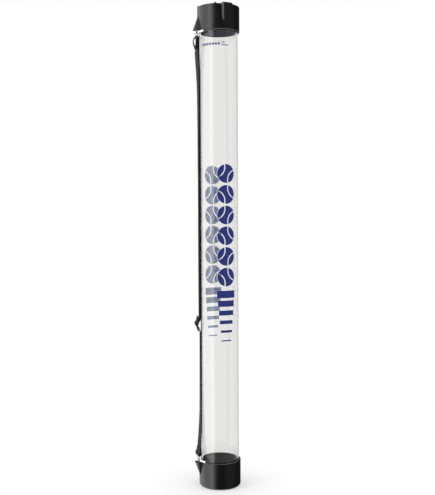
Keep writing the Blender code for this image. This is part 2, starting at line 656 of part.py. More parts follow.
def smooth_path(points, per_span):
    """Catmull-Rom curve through a few (depth, height) points."""
    rows = [np.array(point) for point in points]
    rows = [2 * rows[0] - rows[1]] + rows + [2 * rows[-1] - rows[-2]]
    path = []
    for i in range(1, len(rows) - 2):
        a, b, c, d = rows[i - 1:i + 3]
        for t in np.arange(per_span) / per_span:
            value = 0.5 * (2 * b + (c - a) * t + (2 * a - 5 * b + 4 * c - d) * t ** 2
                           + (3 * b - a - 3 * c + d) * t ** 3)
            path.append(tuple(value))
    return path + [tuple(rows[-2])]


def make_sewn_end(rim):
    """Lower end of the webbing, turned up round the eye's bar and sewn flat into a thick tab."""
    bar = rim + EYE_BAR
    thick = WEBBING_BEND + STRAP_THICKNESS / 2
    top = bar + SEWN_END_LENGTH
    _, stand_off = lie_at(top)
    top_depth = TUBE_RADIUS + INNER_STRAND + stand_off
    outline = ([(HOOK_RADIAL + thick, bar)] + [(top_depth + thick, top - thick)]
               + [(top_depth + STRAP_THICKNESS, top), (top_depth - STRAP_THICKNESS, top)]
               + [(top_depth - thick, top - thick)]
               + arc((HOOK_RADIAL, bar), thick, 180, 350, 8))

    def placed(depth, height, across):
        return Vector((-depth, -across, height))

    tab = add_object("strap_sewn_end", extruded(outline, placed, -STRAP_WIDTH / 2, STRAP_WIDTH / 2),
                     MATERIALS["black_webbing"])
    hole = cylinder((-HOOK_RADIAL, 0.0, bar), (0, 1, 0), EYE_ROD_RADIUS + FIT_GAP, 2 * STRAP_WIDTH, 16)
    combine(tab, add_guide("sewn_end_loop", hole), 'DIFFERENCE')
    return top


def make_strands(sewn_top, slider_low, slider_high, loop_low):
    """The single lower strand and the two upper strands that lie along the tube."""
    for name, bottom, top, layer, count in (
            ("lower_strap", sewn_top + FIT_GAP, slider_low - FIT_GAP, INNER_STRAND, 30),
            ("upper_strap_inner", slider_high + FIT_GAP, loop_low - FIT_GAP, INNER_STRAND, 64),
            ("upper_strap_outer", slider_high + FIT_GAP, loop_low - FIT_GAP, OUTER_STRAND, 64)):
        add_object(name, lofted(strand_rings(bottom, top, layer, count)), MATERIALS["black_webbing"],
                   origin=(-HOOK_RADIAL, 0.0, bottom))


def make_upper_loop(rim, low):
    """Webbing round the upper eye's bar: close to the tube on one side, bowed out on the other."""
    bar = rim - EYE_BAR
    _, stand_off = lie_at(low)
    inner = TUBE_RADIUS + INNER_STRAND + stand_off
    outer = TUBE_RADIUS + OUTER_STRAND + stand_off
    rise = bar - low
    wrap = [(HOOK_RADIAL + x, bar + z) for x, z in arc((0.0, 0.0), WEBBING_BEND, 180, 20, 8)]
    climb = smooth_path([(inner, low), (inner + 0.15 * (wrap[0][0] - inner), low + 0.5 * rise), wrap[0]], 3)
    spread = HOOK_RADIAL + UPPER_LOOP_BOW - outer
    fall = smooth_path([wrap[-1]] + [(outer + bulge * spread, bar - drop * rise) for drop, bulge in
                                     ((0.16, 0.86), (0.38, 1.0), (0.66, 0.69), (0.88, 0.14), (1.0, 0.0))], 3)
    path = climb[:-1] + wrap + fall[1:]
    still = len(climb) + len(wrap) - 2
    last = len(fall) - 1
    twists = [0.0] * still + [UPPER_LOOP_TURN * math.sin(math.pi * i / last) for i in range(last + 1)]
    add_object("upper_strap_loop", lofted(ribbon_rings(path, twists=twists)), MATERIALS["black_webbing"])


def make_slider():
    """Three-bar slider, arched so that the webbing passes under its ends and over its middle."""
    slip, stand_off = lie_at(SLIDER_HEIGHT)
    ends = TUBE_RADIUS + SLIDER_END_STAND_OFF + stand_off
    middle = ends + SLIDER_ARCH
    turn = math.radians(slip)
    out = Vector((-math.cos(turn), math.sin(turn), 0.0))
    side = Vector((math.sin(turn), math.cos(turn), 0.0))

    def at_slider(depth, height, across):
        return out * depth + side * across + Vector((0, 0, SLIDER_HEIGHT + height))

    def arch(height):
        return middle - SLIDER_ARCH * (height / SLIDER_BAR_SPACING) ** 2

    inside = STRAP_WIDTH / 2 + FIT_GAP
    outside = inside + SLIDER_RAIL_WIDTH
    reach = SLIDER_BAR_SPACING + SLIDER_BAR_RADIUS
    heights = np.linspace(-reach, reach, 9)
    outline = [(arch(h) + SLIDER_RAIL_DEPTH / 2, h) for h in heights]
    outline += [(arch(h) - SLIDER_RAIL_DEPTH / 2, h) for h in reversed(heights)]
    origin = at_slider(middle, 0.0, 0.0)
    frame = add_object("slider", extruded(outline, at_slider, inside, outside), MATERIALS["black_plastic"],
                       origin=origin)
    combine(frame, add_guide("slider_rail", extruded(outline, at_slider, -outside, -inside)), 'UNION')
    for index, height in enumerate((-SLIDER_BAR_SPACING, 0.0, SLIDER_BAR_SPACING)):
        centre = at_slider(arch(height), height, 0.0)
        bar = cylinder(centre, side, SLIDER_BAR_RADIUS, inside + outside, 12)
        combine(frame, add_guide(f"slider_bar_{index + 1}", bar), 'UNION')
    return middle


def make_slider_webbing(middle):
    """The strand that weaves through the slider, and the sewn tail round its middle bar."""
    slip, stand_off = lie_at(SLIDER_HEIGHT)
    half = STRAP_THICKNESS / 2
    inner = TUBE_RADIUS + INNER_STRAND + stand_off
    outer = TUBE_RADIUS + OUTER_STRAND + stand_off
    loop_radius = SLIDER_BAR_RADIUS + FIT_GAP + half
    crest = middle + loop_radius + half + FIT_GAP + half
    under = SLIDER_BAR_SPACING
    lift, shoulder, slope = 0.86 * STRAP_THICKNESS, 0.64 * STRAP_THICKNESS, 0.29 * STRAP_THICKNESS
    points = [(outer, WOVEN_HALF_LENGTH), (outer, under), (outer + lift, 0.71 * under),
              (middle + slope, 0.42 * under), (crest - shoulder, 0.2 * under), (crest, 0.0),
              (crest - shoulder, -0.2 * under), (middle + slope, -0.42 * under),
              (outer + lift, -0.71 * under), (outer - slope, -under), (inner, -WOVEN_HALF_LENGTH)]
    woven = ribbon_rings(smooth_path(points, 2), slip, base=SLIDER_HEIGHT)
    origin = (-middle * math.cos(math.radians(slip)), middle * math.sin(math.radians(slip)), SLIDER_HEIGHT)
    add_object("slider_webbing", lofted(woven), MATERIALS["black_webbing"], origin=origin)
    lead = smooth_path([(inner, WOVEN_HALF_LENGTH), (inner, under), (inner, 0.71 * under),
                        (middle - loop_radius - half, 0.28 * under)], 3)
    loop = arc((middle, 0.0), loop_radius, 165, 425, 14)
    tail = ribbon_rings(lead + loop, slip, base=SLIDER_HEIGHT)
    add_object("slider_tail_loop", lofted(tail), MATERIALS["black_webbing"], origin=origin)


def make_strap():
    """All the webbing, from the lower eye through the slider to the upper eye."""
    sewn_top = make_sewn_end(BASE_HEIGHT)
    make_slider_webbing(make_slider())
    loop_low = COLLAR_BOTTOM - EYE_BAR - UPPER_LOOP_LENGTH
    make_strands(sewn_top, SLIDER_HEIGHT - WOVEN_HALF_LENGTH, SLIDER_HEIGHT + WOVEN_HALF_LENGTH, loop_low)
    make_upper_loop(COLLAR_BOTTOM, loop_low)


clear_scene()
MATERIALS = {
    "clear_plastic": plain_material("clear_plastic", (0.93, 0.94, 0.94), 0.08, alpha=0.25),
    "black_plastic": plain_material("black_plastic", (0.012, 0.012, 0.013), 0.38),
    "nickel": plain_material("nickel", (0.72, 0.70, 0.66), 0.22, metallic=1.0),
    "black_webbing": plain_material("black_webbing", (0.014, 0.014, 0.015), 0.85),
    "guide": plain_material("guide", (0.8, 0.2, 0.2), 0.5),
}
make_tube()
make_base_cap()
make_mouth_collar()
make_petals()
make_clip("lower", BASE_HEIGHT, 1)
make_clip("upper", COLLAR_BOTTOM, -1)
make_strap()
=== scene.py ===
# %% [markdown]
# # A clear tube that picks up and carries tennis balls
#
# The real object is a clear plastic tube with two black moulded caps. The lower cap is closed. The
# upper one is a slotted mouth whose petals spring apart over a ball. A black webbing strap with a
# slider is clipped to a lug on each cap by a small nickel snap hook. This lesson dresses the packed
# model: each piece is worked out again as a fine surface, in the same frame and at the same size.
# Lengths are in metres and angles in degrees. Z runs up the tube and the strap is on the -X side.

# %% The frame and the modules
import math

import bmesh
import bpy
import numpy as np
from mathutils import Matrix, Vector


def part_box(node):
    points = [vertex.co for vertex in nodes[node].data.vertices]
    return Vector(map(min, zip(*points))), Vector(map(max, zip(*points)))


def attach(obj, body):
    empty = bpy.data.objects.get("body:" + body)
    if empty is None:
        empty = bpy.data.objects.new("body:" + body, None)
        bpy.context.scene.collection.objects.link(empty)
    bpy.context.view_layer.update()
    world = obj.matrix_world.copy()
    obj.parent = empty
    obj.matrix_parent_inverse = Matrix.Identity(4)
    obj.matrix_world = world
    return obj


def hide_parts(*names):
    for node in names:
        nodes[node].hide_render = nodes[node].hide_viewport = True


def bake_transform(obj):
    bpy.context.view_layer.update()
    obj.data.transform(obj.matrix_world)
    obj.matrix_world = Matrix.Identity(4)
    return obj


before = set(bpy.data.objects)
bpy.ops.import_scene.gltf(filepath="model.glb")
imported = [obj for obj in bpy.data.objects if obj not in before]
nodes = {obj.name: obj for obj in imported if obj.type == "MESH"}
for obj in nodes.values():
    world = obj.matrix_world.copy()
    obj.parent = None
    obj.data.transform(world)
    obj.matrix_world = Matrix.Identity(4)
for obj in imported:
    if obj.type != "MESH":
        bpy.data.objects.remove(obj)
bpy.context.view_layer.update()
print("packed nodes:", len(nodes))

# %% [markdown]
# ## Where the camera stands
#
# A camera fitted to the photograph stands 1.58 m from the tube's axis and 0.55 m above the floor, 18
# degrees round from the front towards the strap. It looks slightly down and leans by a quarter of a
# degree. Its axes are worked out from three turns, heading, pitch and roll, so that each number of the
# fit can be read and changed by itself.

# %% Camera
CAMERA_AZIMUTH = -18.09
CAMERA_DISTANCE = 1.5817
CAMERA_HEIGHT = 0.5509
CAMERA_HEADING = -17.97
CAMERA_PITCH = 2.567
CAMERA_ROLL = -0.236
CAMERA_LENS = 57.48
CAMERA_SENSOR = 36.0
CAMERA_NEAR = 0.01


def direction(azimuth):
    """Level unit vector at an azimuth: 0 points to -Y and 90 to +X."""
    turn = math.radians(azimuth)
    return Vector((math.sin(turn), -math.cos(turn), 0.0))


def place_camera():
    """Camera whose axes are turned by heading, then pitch, then roll."""
    camera = bpy.data.objects.new("camera", bpy.data.cameras.new("camera"))
    bpy.context.scene.collection.objects.link(camera)
    pitch, roll = math.radians(CAMERA_PITCH), math.radians(CAMERA_ROLL)
    level_right = direction(CAMERA_HEADING + 90)
    forward = -direction(CAMERA_HEADING) * math.cos(pitch) - Vector((0, 0, 1)) * math.sin(pitch)
    level_up = level_right.cross(forward)
    right = level_right * math.cos(roll) + level_up * math.sin(roll)
    up = level_up * math.cos(roll) - level_right * math.sin(roll)
    place = direction(CAMERA_AZIMUTH) * CAMERA_DISTANCE + Vector((0, 0, CAMERA_HEIGHT))
    axes = Matrix((right, up, -forward)).transposed().to_4x4()
    camera.matrix_world = Matrix.Translation(place) @ axes
    camera.data.sensor_fit = 'VERTICAL'
    camera.data.sensor_height = CAMERA_SENSOR
    camera.data.lens = CAMERA_LENS
    camera.data.clip_start = CAMERA_NEAR
    bpy.context.scene.camera = camera


place_camera()
bpy.context.scene.view_settings.view_transform = 'Standard'
print("camera at", [round(v, 3) for v in bpy.context.scene.camera.matrix_world.translation])

# %% [markdown]
# ## From numbers to meshes
#
# Every new piece below is one or more grids of points. A grid is a surface with two parameters: its
# rows run along the piece and its columns run round it. A helper turns the grids into one mesh,
# welds the seams, points the faces outwards and shades the round stretches smooth. Where a solid is
# cut or joined, an exact Boolean does it, as on a moulder's drawing. The same pieces could be modelled
# by hand from Blender's primitives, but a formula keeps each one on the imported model's sizes.

# %% Grids of points
def grid_faces(rows, columns, first):
    """Quads between neighbouring rows and columns, as numbers of points that count from first."""
    i, j = np.meshgrid(np.arange(rows - 1), np.arange(columns - 1), indexing="ij")
    corner = first + i * columns + j
    return np.stack([corner, corner + 1, corner + columns + 1, corner + columns], -1).reshape(-1, 4)


def grid_uv(points):
    """Lengths across and along a grid, measured on its first row and first column, in metres."""
    along = np.linalg.norm(np.diff(points[:, 0], axis=0), axis=-1).cumsum()
    across = np.linalg.norm(np.diff(points[0], axis=0), axis=-1).cumsum()
    u, v = np.meshgrid(np.append(0.0, across), np.append(0.0, along))
    return np.stack([u, v], -1)


def capped(points):
    """Grid with one more row at each end, at the middle of that end, so that it closes."""
    first = np.broadcast_to(points[0, :-1].mean(0), points[0].shape)
    last = np.broadcast_to(points[-1, :-1].mean(0), points[-1].shape)
    return np.concatenate([first[None], points, last[None]])


print("faces of a grid of 2 by 3 points:", grid_faces(2, 3, 0).tolist())

# %% From grids to a mesh
WELD = 1e-6
SMOOTH_ANGLE = 35.0


def shaded(mesh):
    """Smooth shading that leaves every edge over SMOOTH_ANGLE crisp."""
    mesh.shade_smooth()
    mesh.set_sharp_from_angle(angle=math.radians(SMOOTH_ANGLE))


def mesh_object(name, grids, uvs=None, filled=False):
    """One object from several grids; seams that meet are welded and faces point outwards.

    If filled, each open end is closed by one flat face.
    """
    points, faces, uv, count = [], [], [], 0
    for k, grid in enumerate(grids):
        rows, columns = grid.shape[:2]
        faces.append(grid_faces(rows, columns, count))
        points.append(grid.reshape(-1, 3))
        uv.append((grid_uv(grid) if uvs is None else uvs[k]).reshape(-1, 2))
        count += rows * columns
    points, faces, uv = np.concatenate(points), np.concatenate(faces), np.concatenate(uv)
    mesh = bpy.data.meshes.new(name)
    mesh.from_pydata(points.tolist(), [], faces.tolist())
    layer = mesh.uv_layers.new(name="UVMap")
    layer.uv.foreach_set("vector", uv[faces.ravel()].astype(np.float32).ravel())
    bm = bmesh.new()
    bm.from_mesh(mesh)
    bmesh.ops.remove_doubles(bm, verts=bm.verts[:], dist=WELD)
    if filled:
        bmesh.ops.holes_fill(bm, edges=bm.edges[:], sides=0)
    bmesh.ops.recalc_face_normals(bm, faces=bm.faces[:])
    bm.to_mesh(mesh)
    bm.free()
    shaded(mesh)
    made = bpy.data.objects.new(name, mesh)
    bpy.context.scene.collection.objects.link(made)
    return made


# %% Booleans
def applied(target):
    """Replaces an object's mesh by the one its modifiers give, without edges shorter than a weld."""
    depsgraph = bpy.context.evaluated_depsgraph_get()
    mesh = bpy.data.meshes.new_from_object(target.evaluated_get(depsgraph))
    bm = bmesh.new()
    bm.from_mesh(mesh)
    bmesh.ops.remove_doubles(bm, verts=bm.verts[:], dist=WELD)
    bmesh.ops.dissolve_degenerate(bm, edges=bm.edges[:], dist=WELD)
    bm.to_mesh(mesh)
    bm.free()
    target.modifiers.clear()
    target.data = mesh
    shaded(mesh)


def combined(target, others, operation):
    """Boolean of several closed objects on a target; the others are used up."""
    for other in others:
        modifier = target.modifiers.new("cut", 'BOOLEAN')
        modifier.operation = operation
        modifier.solver = 'EXACT'
        modifier.object = other
    bpy.context.view_layer.update()
    applied(target)
    for other in others:
        bpy.data.objects.remove(other, do_unlink=True)
    return target


# %% Profiles and turned shapes
RING_SIDES = 192


def arc(centre, radius, start, end, steps):
    """Points on a circle between two angles: the centre plus radius times (cosine, sine)."""
    turn = np.radians(np.linspace(start, end, steps + 1))
    return np.stack([centre[0] + radius * np.cos(turn), centre[1] + radius * np.sin(turn)], -1)


def turned(profile, sides=RING_SIDES):
    """Turned surface: each (radius, height) point of the profile goes once round the Z axis."""
    profile = np.asarray(profile)
    turn = np.linspace(0, 2 * np.pi, sides + 1)
    radius, height = profile[:, :1], profile[:, 1:]
    return np.stack([radius * np.cos(turn), radius * np.sin(turn), height + 0 * turn], -1)


def joined(*runs):
    """Points of several runs, each one point or many, in one array."""
    return np.concatenate([np.atleast_2d(run) for run in runs])


def closed_profile(*runs):
    """The same, with the first point repeated at the end."""
    return joined(*runs, joined(*runs)[0])


print("a quarter circle in two steps:", arc((0.0, 0.0), 1.0, 0, 90, 2).round(3).tolist())

# %% Swept shapes and their sections
ROD_SIDES, CORNER_STEPS = 24, 4


def swept(path, section, side_axis, closed=False):
    """Surface swept along a path.

    At each path point, the section's first number is laid along the axis that is square to both
    the path and side_axis, and its second number along side_axis.
    """
    path, section = np.asarray(path, float), np.asarray(section, float)
    if closed:
        along = np.roll(path, -1, 0) - np.roll(path, 1, 0)
    else:
        along = np.gradient(path, axis=0)
    along /= np.linalg.norm(along, axis=-1, keepdims=True)
    side = np.asarray(side_axis, float) / np.linalg.norm(side_axis)
    across = np.cross(along, side)
    across /= np.linalg.norm(across, axis=-1, keepdims=True)
    grid = (path[:, None] + section[None, :, :1] * across[:, None]
            + section[None, :, 1:] * side)
    return np.concatenate([grid, grid[:1]]) if closed else capped(grid)


def circle(radius, sides=ROD_SIDES):
    """Closed circular section."""
    return arc((0.0, 0.0), radius, 0, 360, sides)


def rounded_rectangle(half_width, half_height, radius):
    """Closed section of a flat bar: a quarter circle at each of its four corners in turn."""
    x, y = half_width - radius, half_height - radius
    return closed_profile(*[arc(corner, radius, 90 * k, 90 * k + 90, CORNER_STEPS)
                            for k, corner in enumerate([(x, y), (-x, y), (-x, -y), (x, -y)])])


# %% Rounded blocks
BLOCK_STEPS = 12


def rounded_block(low, high, radius):
    """Block with rounded edges: a ball's points, each moved out to the nearest corner of a box."""
    low, high = np.minimum(low, high), np.maximum(low, high)
    tilt = (np.arange(BLOCK_STEPS) + 0.5) * np.pi / BLOCK_STEPS
    turn = (np.arange(2 * BLOCK_STEPS + 1) + 0.5) * np.pi / BLOCK_STEPS
    normal = np.stack([np.sin(tilt)[:, None] * np.cos(turn), np.sin(tilt)[:, None] * np.sin(turn),
                       np.cos(tilt)[:, None] + 0 * turn], -1)
    inner = (high - low) / 2 - radius
    return capped((low + high) / 2 + np.sign(normal) * inner + radius * normal)


# %% [markdown]
# ## Finishes
#
# The tube is clear plastic: it lets light through, bends it a little and mirrors the studio. The
# caps are satin black moulding with a very fine grain. The hooks are nickel plate, the strap is
# ribbed black webbing and the print is flat navy ink. Each finish is a node material with its
# fine detail in roughness and bump, because the eye reads a material by how its highlights break.
# Pictures of real surfaces could be laid on instead. Noise that is worked out from a piece's own
# coordinates needs no picture, shows no seam and stays sharp from near by.

# %% Materials and their nodes
def new_material(name, colour, roughness, metallic=0.0, specular=0.5):
    """Principled material, and its node tree and shader for further nodes."""
    material = bpy.data.materials.new(name)
    material.use_nodes = True
    tree = material.node_tree
    shader = tree.nodes["Principled BSDF"]
    shader.inputs["Base Color"].default_value = (*colour, 1.0)
    shader.inputs["Roughness"].default_value = roughness
    shader.inputs["Metallic"].default_value = metallic
    shader.inputs["Specular IOR Level"].default_value = specular
    return material, tree, shader


def add_node(tree, kind, links=(), **values):
    """Node of a kind; values set its properties or sockets, links give (socket, source) pairs."""
    node = tree.nodes.new(kind)
    for name, value in values.items():
        if hasattr(node, name):
            setattr(node, name, value)
        else:
            node.inputs[name.replace("_", " ")].default_value = value
    for socket, source in links:
        tree.links.new(source, node.inputs[socket])
    return node


# %% Numbers, noise and bump in a material
def worked(tree, operation, *values):
    """Result of a Math node; each value is a socket to link or a plain number."""
    node = add_node(tree, "ShaderNodeMath", operation=operation)
    for socket, value in zip(node.inputs, values):
        if isinstance(value, bpy.types.NodeSocket):
            tree.links.new(value, socket)
        else:
            socket.default_value = value
    return node.outputs["Value"]


def ranged(tree, source, low, high, start=0.0, end=1.0):
    """Number between start and end, brought to the range from low to high."""
    node = add_node(tree, "ShaderNodeMapRange", [("Value", source)], From_Min=start, From_Max=end,
                    To_Min=low, To_Max=high)
    return node.outputs["Result"]


def noise(tree, scale, detail, stretch=None, **values):
    """Cloudy number from 0 to 1 on the piece's own coordinates, drawn out along a stretched axis."""
    place = add_node(tree, "ShaderNodeTexCoord").outputs["Object"]
    if stretch:
        place = add_node(tree, "ShaderNodeMapping", [("Vector", place)], Scale=stretch).outputs["Vector"]
    node = add_node(tree, "ShaderNodeTexNoise", [("Vector", place)], Scale=scale, Detail=detail, **values)
    return node.outputs["Fac"]


def uneven(tree, shader, source, low, high):
    """Roughness that follows a number from 0 to 1 between two values."""
    tree.links.new(ranged(tree, source, low, high), shader.inputs["Roughness"])


def bumped(tree, shader, height, distance, strength=1.0):
    """Bump from a height output into the shader's normal; the distance is in metres."""
    bump = add_node(tree, "ShaderNodeBump", [("Height", height)], Distance=distance, Strength=strength)
    tree.links.new(bump.outputs["Normal"], shader.inputs["Normal"])


# %% Clear plastic
def clear_plastic():
    """Clear tube: full transmission, with faint draw lines along it and a few hairline scuffs."""
    material, tree, shader = new_material("clear_plastic", (0.905, 0.905, 0.90), 0.03)
    shader.inputs["Transmission Weight"].default_value = 1.0
    shader.inputs["IOR"].default_value = 1.49
    scuffs = noise(tree, 35.0, 6.0, Roughness=0.7)
    draw_lines = noise(tree, 140.0, 2.0, stretch=(1.0, 1.0, 0.02))
    uneven(tree, shader, scuffs, 0.0, 0.07)
    bumped(tree, shader, draw_lines, 0.00004)
    return material


CLEAR = clear_plastic()


# %% Black moulding
def black_moulding(name, roughness, specular):
    """Satin black plastic with a fine spark-eroded grain and slight differences in gloss."""
    material, tree, shader = new_material(name, (0.0045, 0.0045, 0.005), roughness, specular=specular)
    clouds, grain = noise(tree, 45.0, 4.0), noise(tree, 2600.0, 2.0)
    uneven(tree, shader, clouds, roughness - 0.05, roughness + 0.06)
    bumped(tree, shader, grain, 0.00003, 0.6)
    return material


CAP_BLACK = black_moulding("cap_black", 0.30, 0.5)
SLIDER_BLACK = black_moulding("slider_black", 0.42, 0.4)


# %% Nickel
def nickel_plate():
    """Bright plated steel, a little duller in patches where fingers have been."""
    material, tree, shader = new_material("nickel_plate", (0.78, 0.76, 0.72), 0.16, metallic=1.0)
    patches = noise(tree, 160.0, 5.0)
    uneven(tree, shader, patches, 0.10, 0.30)
    bumped(tree, shader, patches, 0.00003, 0.5)
    return material


NICKEL = nickel_plate()


# %% Webbing and thread
RIB_PITCH = 0.00115
PICK_PITCH = 0.0009


def woven_black():
    """Ribbed webbing: ribs along the strap crossed by short picks, from sines of the UV lengths.

    The ribs are the sine of the length across. The picks are the sine of the length along, half a
    turn apart on neighbouring ribs, and are highest on the crown of a rib. The colour is painted
    shade: darker in the weave's low places and lighter on its crowns.
    """
    material, tree, shader = new_material("black_webbing", (0.014, 0.014, 0.016), 0.72, specular=0.15)
    shader.inputs["Sheen Weight"].default_value = 0.04
    shader.inputs["Sheen Roughness"].default_value = 0.5
    flat = add_node(tree, "ShaderNodeUVMap", uv_map="UVMap").outputs["UV"]
    lengths = add_node(tree, "ShaderNodeSeparateXYZ", [("Vector", flat)]).outputs
    ribs = worked(tree, 'SINE', worked(tree, 'MULTIPLY', lengths["X"], 2 * math.pi / RIB_PITCH))
    shift = worked(tree, 'MULTIPLY', worked(tree, 'SIGN', ribs), math.pi / 2)
    turns = worked(tree, 'MULTIPLY', lengths["Y"], 2 * math.pi / PICK_PITCH)
    picks = worked(tree, 'SINE', worked(tree, 'ADD', turns, shift))
    crowns = worked(tree, 'ABSOLUTE', ribs)
    lift = ranged(tree, worked(tree, 'MULTIPLY_ADD', picks, crowns, crowns), 0.0, 1.0, -1.0, 2.0)
    # painted shade: the colour follows the weave's height, dark in its hollows and lighter on its crowns
    weave_hollow_shade = add_node(tree, "ShaderNodeMix", [("Factor", lift)], data_type='RGBA')
    weave_hollow_shade.inputs["A"].default_value = (0.003, 0.003, 0.0035, 1.0)
    weave_hollow_shade.inputs["B"].default_value = (0.016, 0.016, 0.018, 1.0)
    tree.links.new(weave_hollow_shade.outputs["Result"], shader.inputs["Base Color"])
    uneven(tree, shader, noise(tree, 90.0, 5.0), 0.62, 0.85)
    bumped(tree, shader, lift, 0.00022, 0.8)
    return material


def black_thread():
    """Waxed polyester thread, a little shinier than the webbing."""
    material, tree, shader = new_material("black_thread", (0.022, 0.022, 0.025), 0.5)
    bumped(tree, shader, noise(tree, 2200.0, 2.0), 0.00005)
    return material


WEBBING = woven_black()
THREAD = black_thread()


# %% Ink
def screen_ink(name, colour):
    """Screen-printed ink: an even coat with a slight orange-peel surface."""
    material, tree, shader = new_material(name, colour, 0.35)
    peel = noise(tree, 900.0, 2.0)
    uneven(tree, shader, peel, 0.28, 0.42)
    bumped(tree, shader, peel, 0.00002)
    return material


NAVY = screen_ink("navy_ink", (0.016, 0.025, 0.18))
WHITE = screen_ink("white_ink", (0.80, 0.80, 0.80))
PALE = screen_ink("pale_under_ink", (0.50, 0.60, 1.0))
print("finishes:", [finish.name for finish in (CLEAR, CAP_BLACK, SLIDER_BLACK, NICKEL, WEBBING, THREAD,
                                               NAVY, WHITE, PALE)])

# %% [markdown]
# ## The tube
#
# The real tube is extruded: one ring-shaped section drawn out for nine tenths of a metre, then sawn
# to length. Here the wall's upright section, a long thin rectangle, is turned once round the axis. The
# sawn ends keep a tiny broken edge, which is what catches the light where the tube meets a cap. A
# cylinder with a Solidify modifier would give the wall too, but not those edges.

# %% Sizes of the tube and the caps
TUBE_RADIUS = 0.038
TUBE_WALL = 0.002
TUBE_BREAK = 0.0003
TUBE_SIDES = 256
FIT_GAP = 0.0003
CAP_RADIUS = 0.04175
tube_bottom, tube_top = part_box("tube")[0].z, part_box("tube")[1].z
base_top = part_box("base_cap")[1].z
collar_bottom, collar_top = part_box("mouth_collar")[0].z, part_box("mouth_collar")[1].z
bore_radius = TUBE_RADIUS - TUBE_WALL
cap_bore = TUBE_RADIUS + FIT_GAP
print("tube from", round(tube_bottom, 4), "to", round(tube_top, 4))


# %% What every finished piece is given
def finished(made, material, body, slot, *replaced):
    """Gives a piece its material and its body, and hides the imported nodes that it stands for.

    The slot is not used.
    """
    made.data.materials.clear()
    made.data.materials.append(material)
    if body:
        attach(made, body)
    if replaced:
        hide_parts(*replaced)
    return made


# %% Clear tube
def ring_profile(outer, inner, low, high, broken):
    """Section of a sawn ring with its four edges broken."""
    return closed_profile((outer, low + broken), (outer, high - broken), (outer - broken, high),
                          (inner + broken, high), (inner, high - broken), (inner, low + broken),
                          (inner + broken, low), (outer - broken, low))


tube_ring = ring_profile(TUBE_RADIUS, bore_radius, tube_bottom, tube_top, TUBE_BREAK)
clear_tube = mesh_object("clear_tube", [turned(tube_ring, TUBE_SIDES)])
finished(clear_tube, CLEAR, "root", "clear_plastic", "tube")

# lamps shine through the clear wall onto what stands behind it
clear_tube.visible_shadow = False
print("tube:", len(clear_tube.data.vertices), "points")

# %% [markdown]
# ## The print on the tube
#
# The tube carries a tall navy print on its front and the same again on its back, which shows through.
# Here the print is a column of tennis balls over a set of level bars. Each motif is a thin coat with a
# real thickness: a flat shape in (distance round the tube, height), wrapped onto the cylinder. A
# shape between two curves needs only a grid whose columns run from one curve to the other. Under the
# navy lies a pale coat, which is why the far panel looks washed out through the tube. A texture on the
# tube could carry the print as well, but coats of ink keep crisp edges and hide what lies behind them.

# %% Wrapping a flat shape onto the tube
INK_LIFT, INK_THICKNESS = 0.00004, 0.00005
UNDER_LIFT, UNDER_THICKNESS = 0.00001, 0.00002


def coat(flat, azimuth, lift, thickness):
    """Closed thin coat: flat (across, height) points at two radii, joined round their rim."""
    def wrapped(radius):
        turn = math.radians(azimuth) + flat[..., 0] / TUBE_RADIUS
        return np.stack([radius * np.sin(turn), -radius * np.cos(turn), flat[..., 1]], -1)

    inner, outer = wrapped(TUBE_RADIUS + lift), wrapped(TUBE_RADIUS + lift + thickness)

    def rim(grid):
        return np.concatenate([grid[0, :-1], grid[:-1, -1], grid[-1, :0:-1], grid[::-1, 0]])

    return [outer, inner, np.stack([rim(outer), rim(inner)])]


def between(left, right, steps=9):
    """Grid of columns from one curve of (across, height) points to another."""
    share = np.linspace(0, 1, steps)[None, :, None]
    return left[:, None] * (1 - share) + right[:, None] * share


# %% A printed tennis ball
BALL_RADIUS = 0.0182
BALL_TILT = 28.0
SEAM_BEND = 0.0205
SEAM_OFFSET = 0.0265
SEAM_WIDTH = 0.0021
LINE_GAP, LINE_WIDTH = 0.0001, 0.0008
LINE_START, LINE_END = 0.2, 359.8


def seam_x(up, radius):
    """Where a seam edge stands at a height: the edge of its circle, less the circle's offset."""
    return np.sqrt(radius ** 2 - up ** 2) - SEAM_OFFSET


def seam_end(radius):
    """Height at which a seam edge leaves the disc, from the two circles' equations."""
    x = (radius ** 2 - SEAM_OFFSET ** 2 - BALL_RADIUS ** 2) / (2 * SEAM_OFFSET)
    return math.sqrt(BALL_RADIUS ** 2 - x ** 2)


print("the seams leave the disc at a height of", round(seam_end(SEAM_BEND), 4))


# %% The ball's fields, its ring and a bar
def ball_print(height, tilt, across=0.0, size=1.0):
    """A ball's disc in three fields that leave its two curved seams open.

    The seam is a circle of radius SEAM_BEND whose centre lies SEAM_OFFSET to the side. Each field
    lies between two curves that share their heights. The whole is turned by the tilt, scaled by the
    size and moved to its place.
    """
    outside, inside = SEAM_BEND - SEAM_WIDTH / 2, SEAM_BEND + SEAM_WIDTH / 2
    up = seam_end(outside) * np.sin(np.linspace(-np.pi / 2, np.pi / 2, 25))
    rim = -np.sqrt(BALL_RADIUS ** 2 - up ** 2)
    left = between(np.stack([rim, up], -1), np.stack([np.maximum(seam_x(up, outside), rim), up], -1), 5)
    turn = np.linspace(-np.pi / 2, np.pi / 2, 41)
    up, rim = BALL_RADIUS * np.sin(turn), BALL_RADIUS * np.cos(turn)
    reach = np.where(np.abs(up) < seam_end(inside), -seam_x(np.clip(up, -inside, inside), inside), rim)
    reach = np.minimum(reach, rim)
    middle = between(np.stack([-reach, up], -1), np.stack([reach, up], -1), 15)
    cos, sin = math.cos(math.radians(tilt)), math.sin(math.radians(tilt))
    spin = np.array([[cos, sin], [-sin, cos]])
    return [size * field @ spin + (across, height) for field in (left, left * (-1, 1), middle)]


def ring_print(height):
    """White line round a ball, a hairline short of the full turn so that its coat stays one solid."""
    inner = BALL_RADIUS + LINE_GAP
    edges = [arc((0.0, height), radius, LINE_START, LINE_END, 64) for radius in (inner, inner + LINE_WIDTH)]
    return between(*edges, 3)


def level_bar(left, right, low, high):
    """Rectangle, in columns close enough to follow the tube."""
    height = np.array([[low], [high]])
    across = np.linspace(left, right, 33)[None, :]
    return np.stack([across + 0 * height, height + 0 * across], -1)


